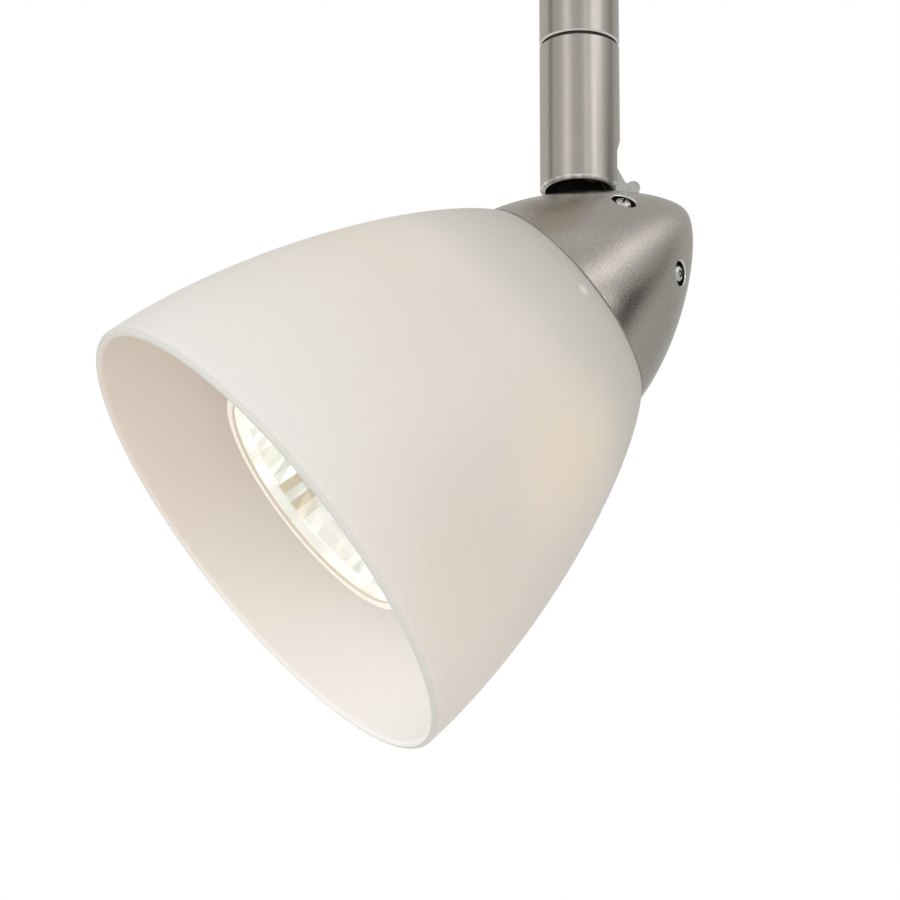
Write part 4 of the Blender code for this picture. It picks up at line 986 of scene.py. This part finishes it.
def add_camera():
    """The camera, below and to the side of the head. VIEW_WIDTH is what it sees across at its target."""
    level = math.cos(VIEW_ELEVATION)
    back = Vector(
        (math.sin(VIEW_AZIMUTH) * level, -math.cos(VIEW_AZIMUTH) * level, math.sin(VIEW_ELEVATION))
    )
    camera = bpy.data.cameras.new("camera")
    camera.sensor_width = SENSOR_WIDTH
    camera.lens = SENSOR_WIDTH * VIEW_DISTANCE / VIEW_WIDTH
    camera.clip_end = 100
    turn = back.to_track_quat("Z", "Y").to_matrix().to_4x4() @ Matrix.Rotation(VIEW_ROLL, 4, "Z")
    place = Matrix.Translation(VIEW_TARGET + VIEW_DISTANCE * back) @ turn
    bpy.context.scene.camera = put_in_scene("camera", camera, place)


def add_floor():
    """A pale floor far below, for views from above. It takes no part in the object's own lighting."""
    bm = bmesh.new()
    bmesh.ops.create_grid(bm, x_segments=1, y_segments=1, size=12)
    mesh = mesh_from("floor", bm)
    floor = put_in_scene("floor", mesh)
    floor.location = (0, 0, -1.9)
    m = Nodes("pale_floor")
    m.set(colour=(0.9, 0.9, 0.9), roughness=0.9, emission=0.28, emission_colour=(1, 1, 1))
    mesh.materials.append(m.material)
    floor.visible_diffuse = False
    floor.visible_glossy = False
    floor.visible_transmission = False


SURROUNDINGS = 0.56
DARKEST = 0.05
SOFT_BOXES = (
    # azimuth from the camera, elevation, half-width, half-height, brightness added to the surroundings
    (58, 29, 10, 7, 0.95),
    (58, 7, 7, 6, 1.15),
    (45, 58, 20, 12, 0.12),
    (74, 38, 11, 7, 0.82),
    (93, 43, 13, 7, 0.5),
    (113, 43, 12, 9, 0.1),
    (108, 30, 9, 6, -0.12),
    (81, -3, 9, 9, -0.44),
    (40, 21, 10, 10, 0.9),
    (-38, 20, 12, 25, 0.5),
    (17, 20, 6, 14, 0.4),
    (80, 9, 9, 8, -0.42),
    (91, 15, 9, 7, -0.34),
    (103, 23, 9, 7, -0.2),
    (-93, 20, 7, 40, -0.35),
    (130, 6, 30, 22, -0.08),
    (-120, 5, 22, 30, 0.1),
)


def add_surroundings():
    """A white backdrop for the camera, and for reflections a grey studio with soft boxes and dark flags."""
    world = bpy.data.worlds.new("studio")
    world.use_nodes = True
    bpy.context.scene.world = world
    tree = world.node_tree

    def math_node(operation, first, second=None):
        node = tree.nodes.new("ShaderNodeMath")
        node.operation = operation
        for socket, value in zip(node.inputs, (first, second)):
            if isinstance(value, (int, float)):
                socket.default_value = value
            elif value is not None:
                tree.links.new(value, socket)
        return node.outputs[0]

    direction = tree.nodes.new("ShaderNodeTexCoord").outputs["Generated"]

    def component(vector):
        node = tree.nodes.new("ShaderNodeVectorMath")
        node.operation = "DOT_PRODUCT"
        tree.links.new(direction, node.inputs[0])
        node.inputs[1].default_value = vector
        return node.outputs["Value"]

    toward = component((math.sin(VIEW_AZIMUTH), -math.cos(VIEW_AZIMUTH), 0))
    rightward = component((math.cos(VIEW_AZIMUTH), math.sin(VIEW_AZIMUTH), 0))
    azimuth = math_node("MULTIPLY", math_node("ARCTAN2", rightward, toward), 180 / math.pi)
    elevation = math_node("MULTIPLY", math_node("ARCSINE", component((0, 0, 1))), 180 / math.pi)
    total = SURROUNDINGS
    for where, height, wide, tall, extra in SOFT_BOXES:
        across = math_node("POWER", math_node("DIVIDE", math_node("SUBTRACT", azimuth, where), wide), 2.0)
        upward = math_node("POWER", math_node("DIVIDE", math_node("SUBTRACT", elevation, height), tall), 2.0)
        fall = math_node("EXPONENT", math_node("MULTIPLY", math_node("ADD", across, upward), -1.0))
        total = math_node("ADD", math_node("MULTIPLY", fall, extra), total)
    # a brighter patch of backdrop straight behind the object, which gives its outline a pale edge
    patch_edge, patch_slope, patch_peak = 0.93, 8.0, 0.45
    away = math_node("MULTIPLY", toward, -1.0)
    behind = math_node("MULTIPLY", math_node("SUBTRACT", away, patch_edge), patch_slope)
    behind = math_node("MINIMUM", math_node("MAXIMUM", behind, 0.0), patch_peak)
    total = math_node("ADD", total, behind)
    background = tree.nodes["Background"]
    background.inputs["Color"].default_value = (1, 0.99, 0.975, 1)
    tree.links.new(math_node("MAXIMUM", total, DARKEST), background.inputs["Strength"])
    seen = tree.nodes.new("ShaderNodeBackground")
    seen.inputs["Color"].default_value = (1, 1, 1, 1)
    seen.inputs["Strength"].default_value = 1.0
    mixed = tree.nodes.new("ShaderNodeMixShader")
    path = tree.nodes.new("ShaderNodeLightPath")
    tree.links.new(path.outputs["Is Camera Ray"], mixed.inputs[0])
    tree.links.new(background.outputs[0], mixed.inputs[1])
    tree.links.new(seen.outputs[0], mixed.inputs[2])
    tree.links.new(mixed.outputs[0], tree.nodes["World Output"].inputs["Surface"])


add_camera()
finish_cad_nodes()
add_upper_tube()
add_sleeve()
add_cap()
add_cap_screws()
add_shade()
add_bowl()
add_facets()
add_lens()
add_burner()
add_filament()
add_lock_spring()
add_arm()
for half, bends in (("upper", False), ("lower", True)):
    add_lead(f"lead_hot_{half}", MATS["dark_sleeve"], bends)
    add_lead(f"lead_neutral_{half}", MATS["pale_sleeve"], bends)
add_floor()
add_surroundings()
add_lights()
bpy.context.scene.view_settings.view_transform = "Standard"
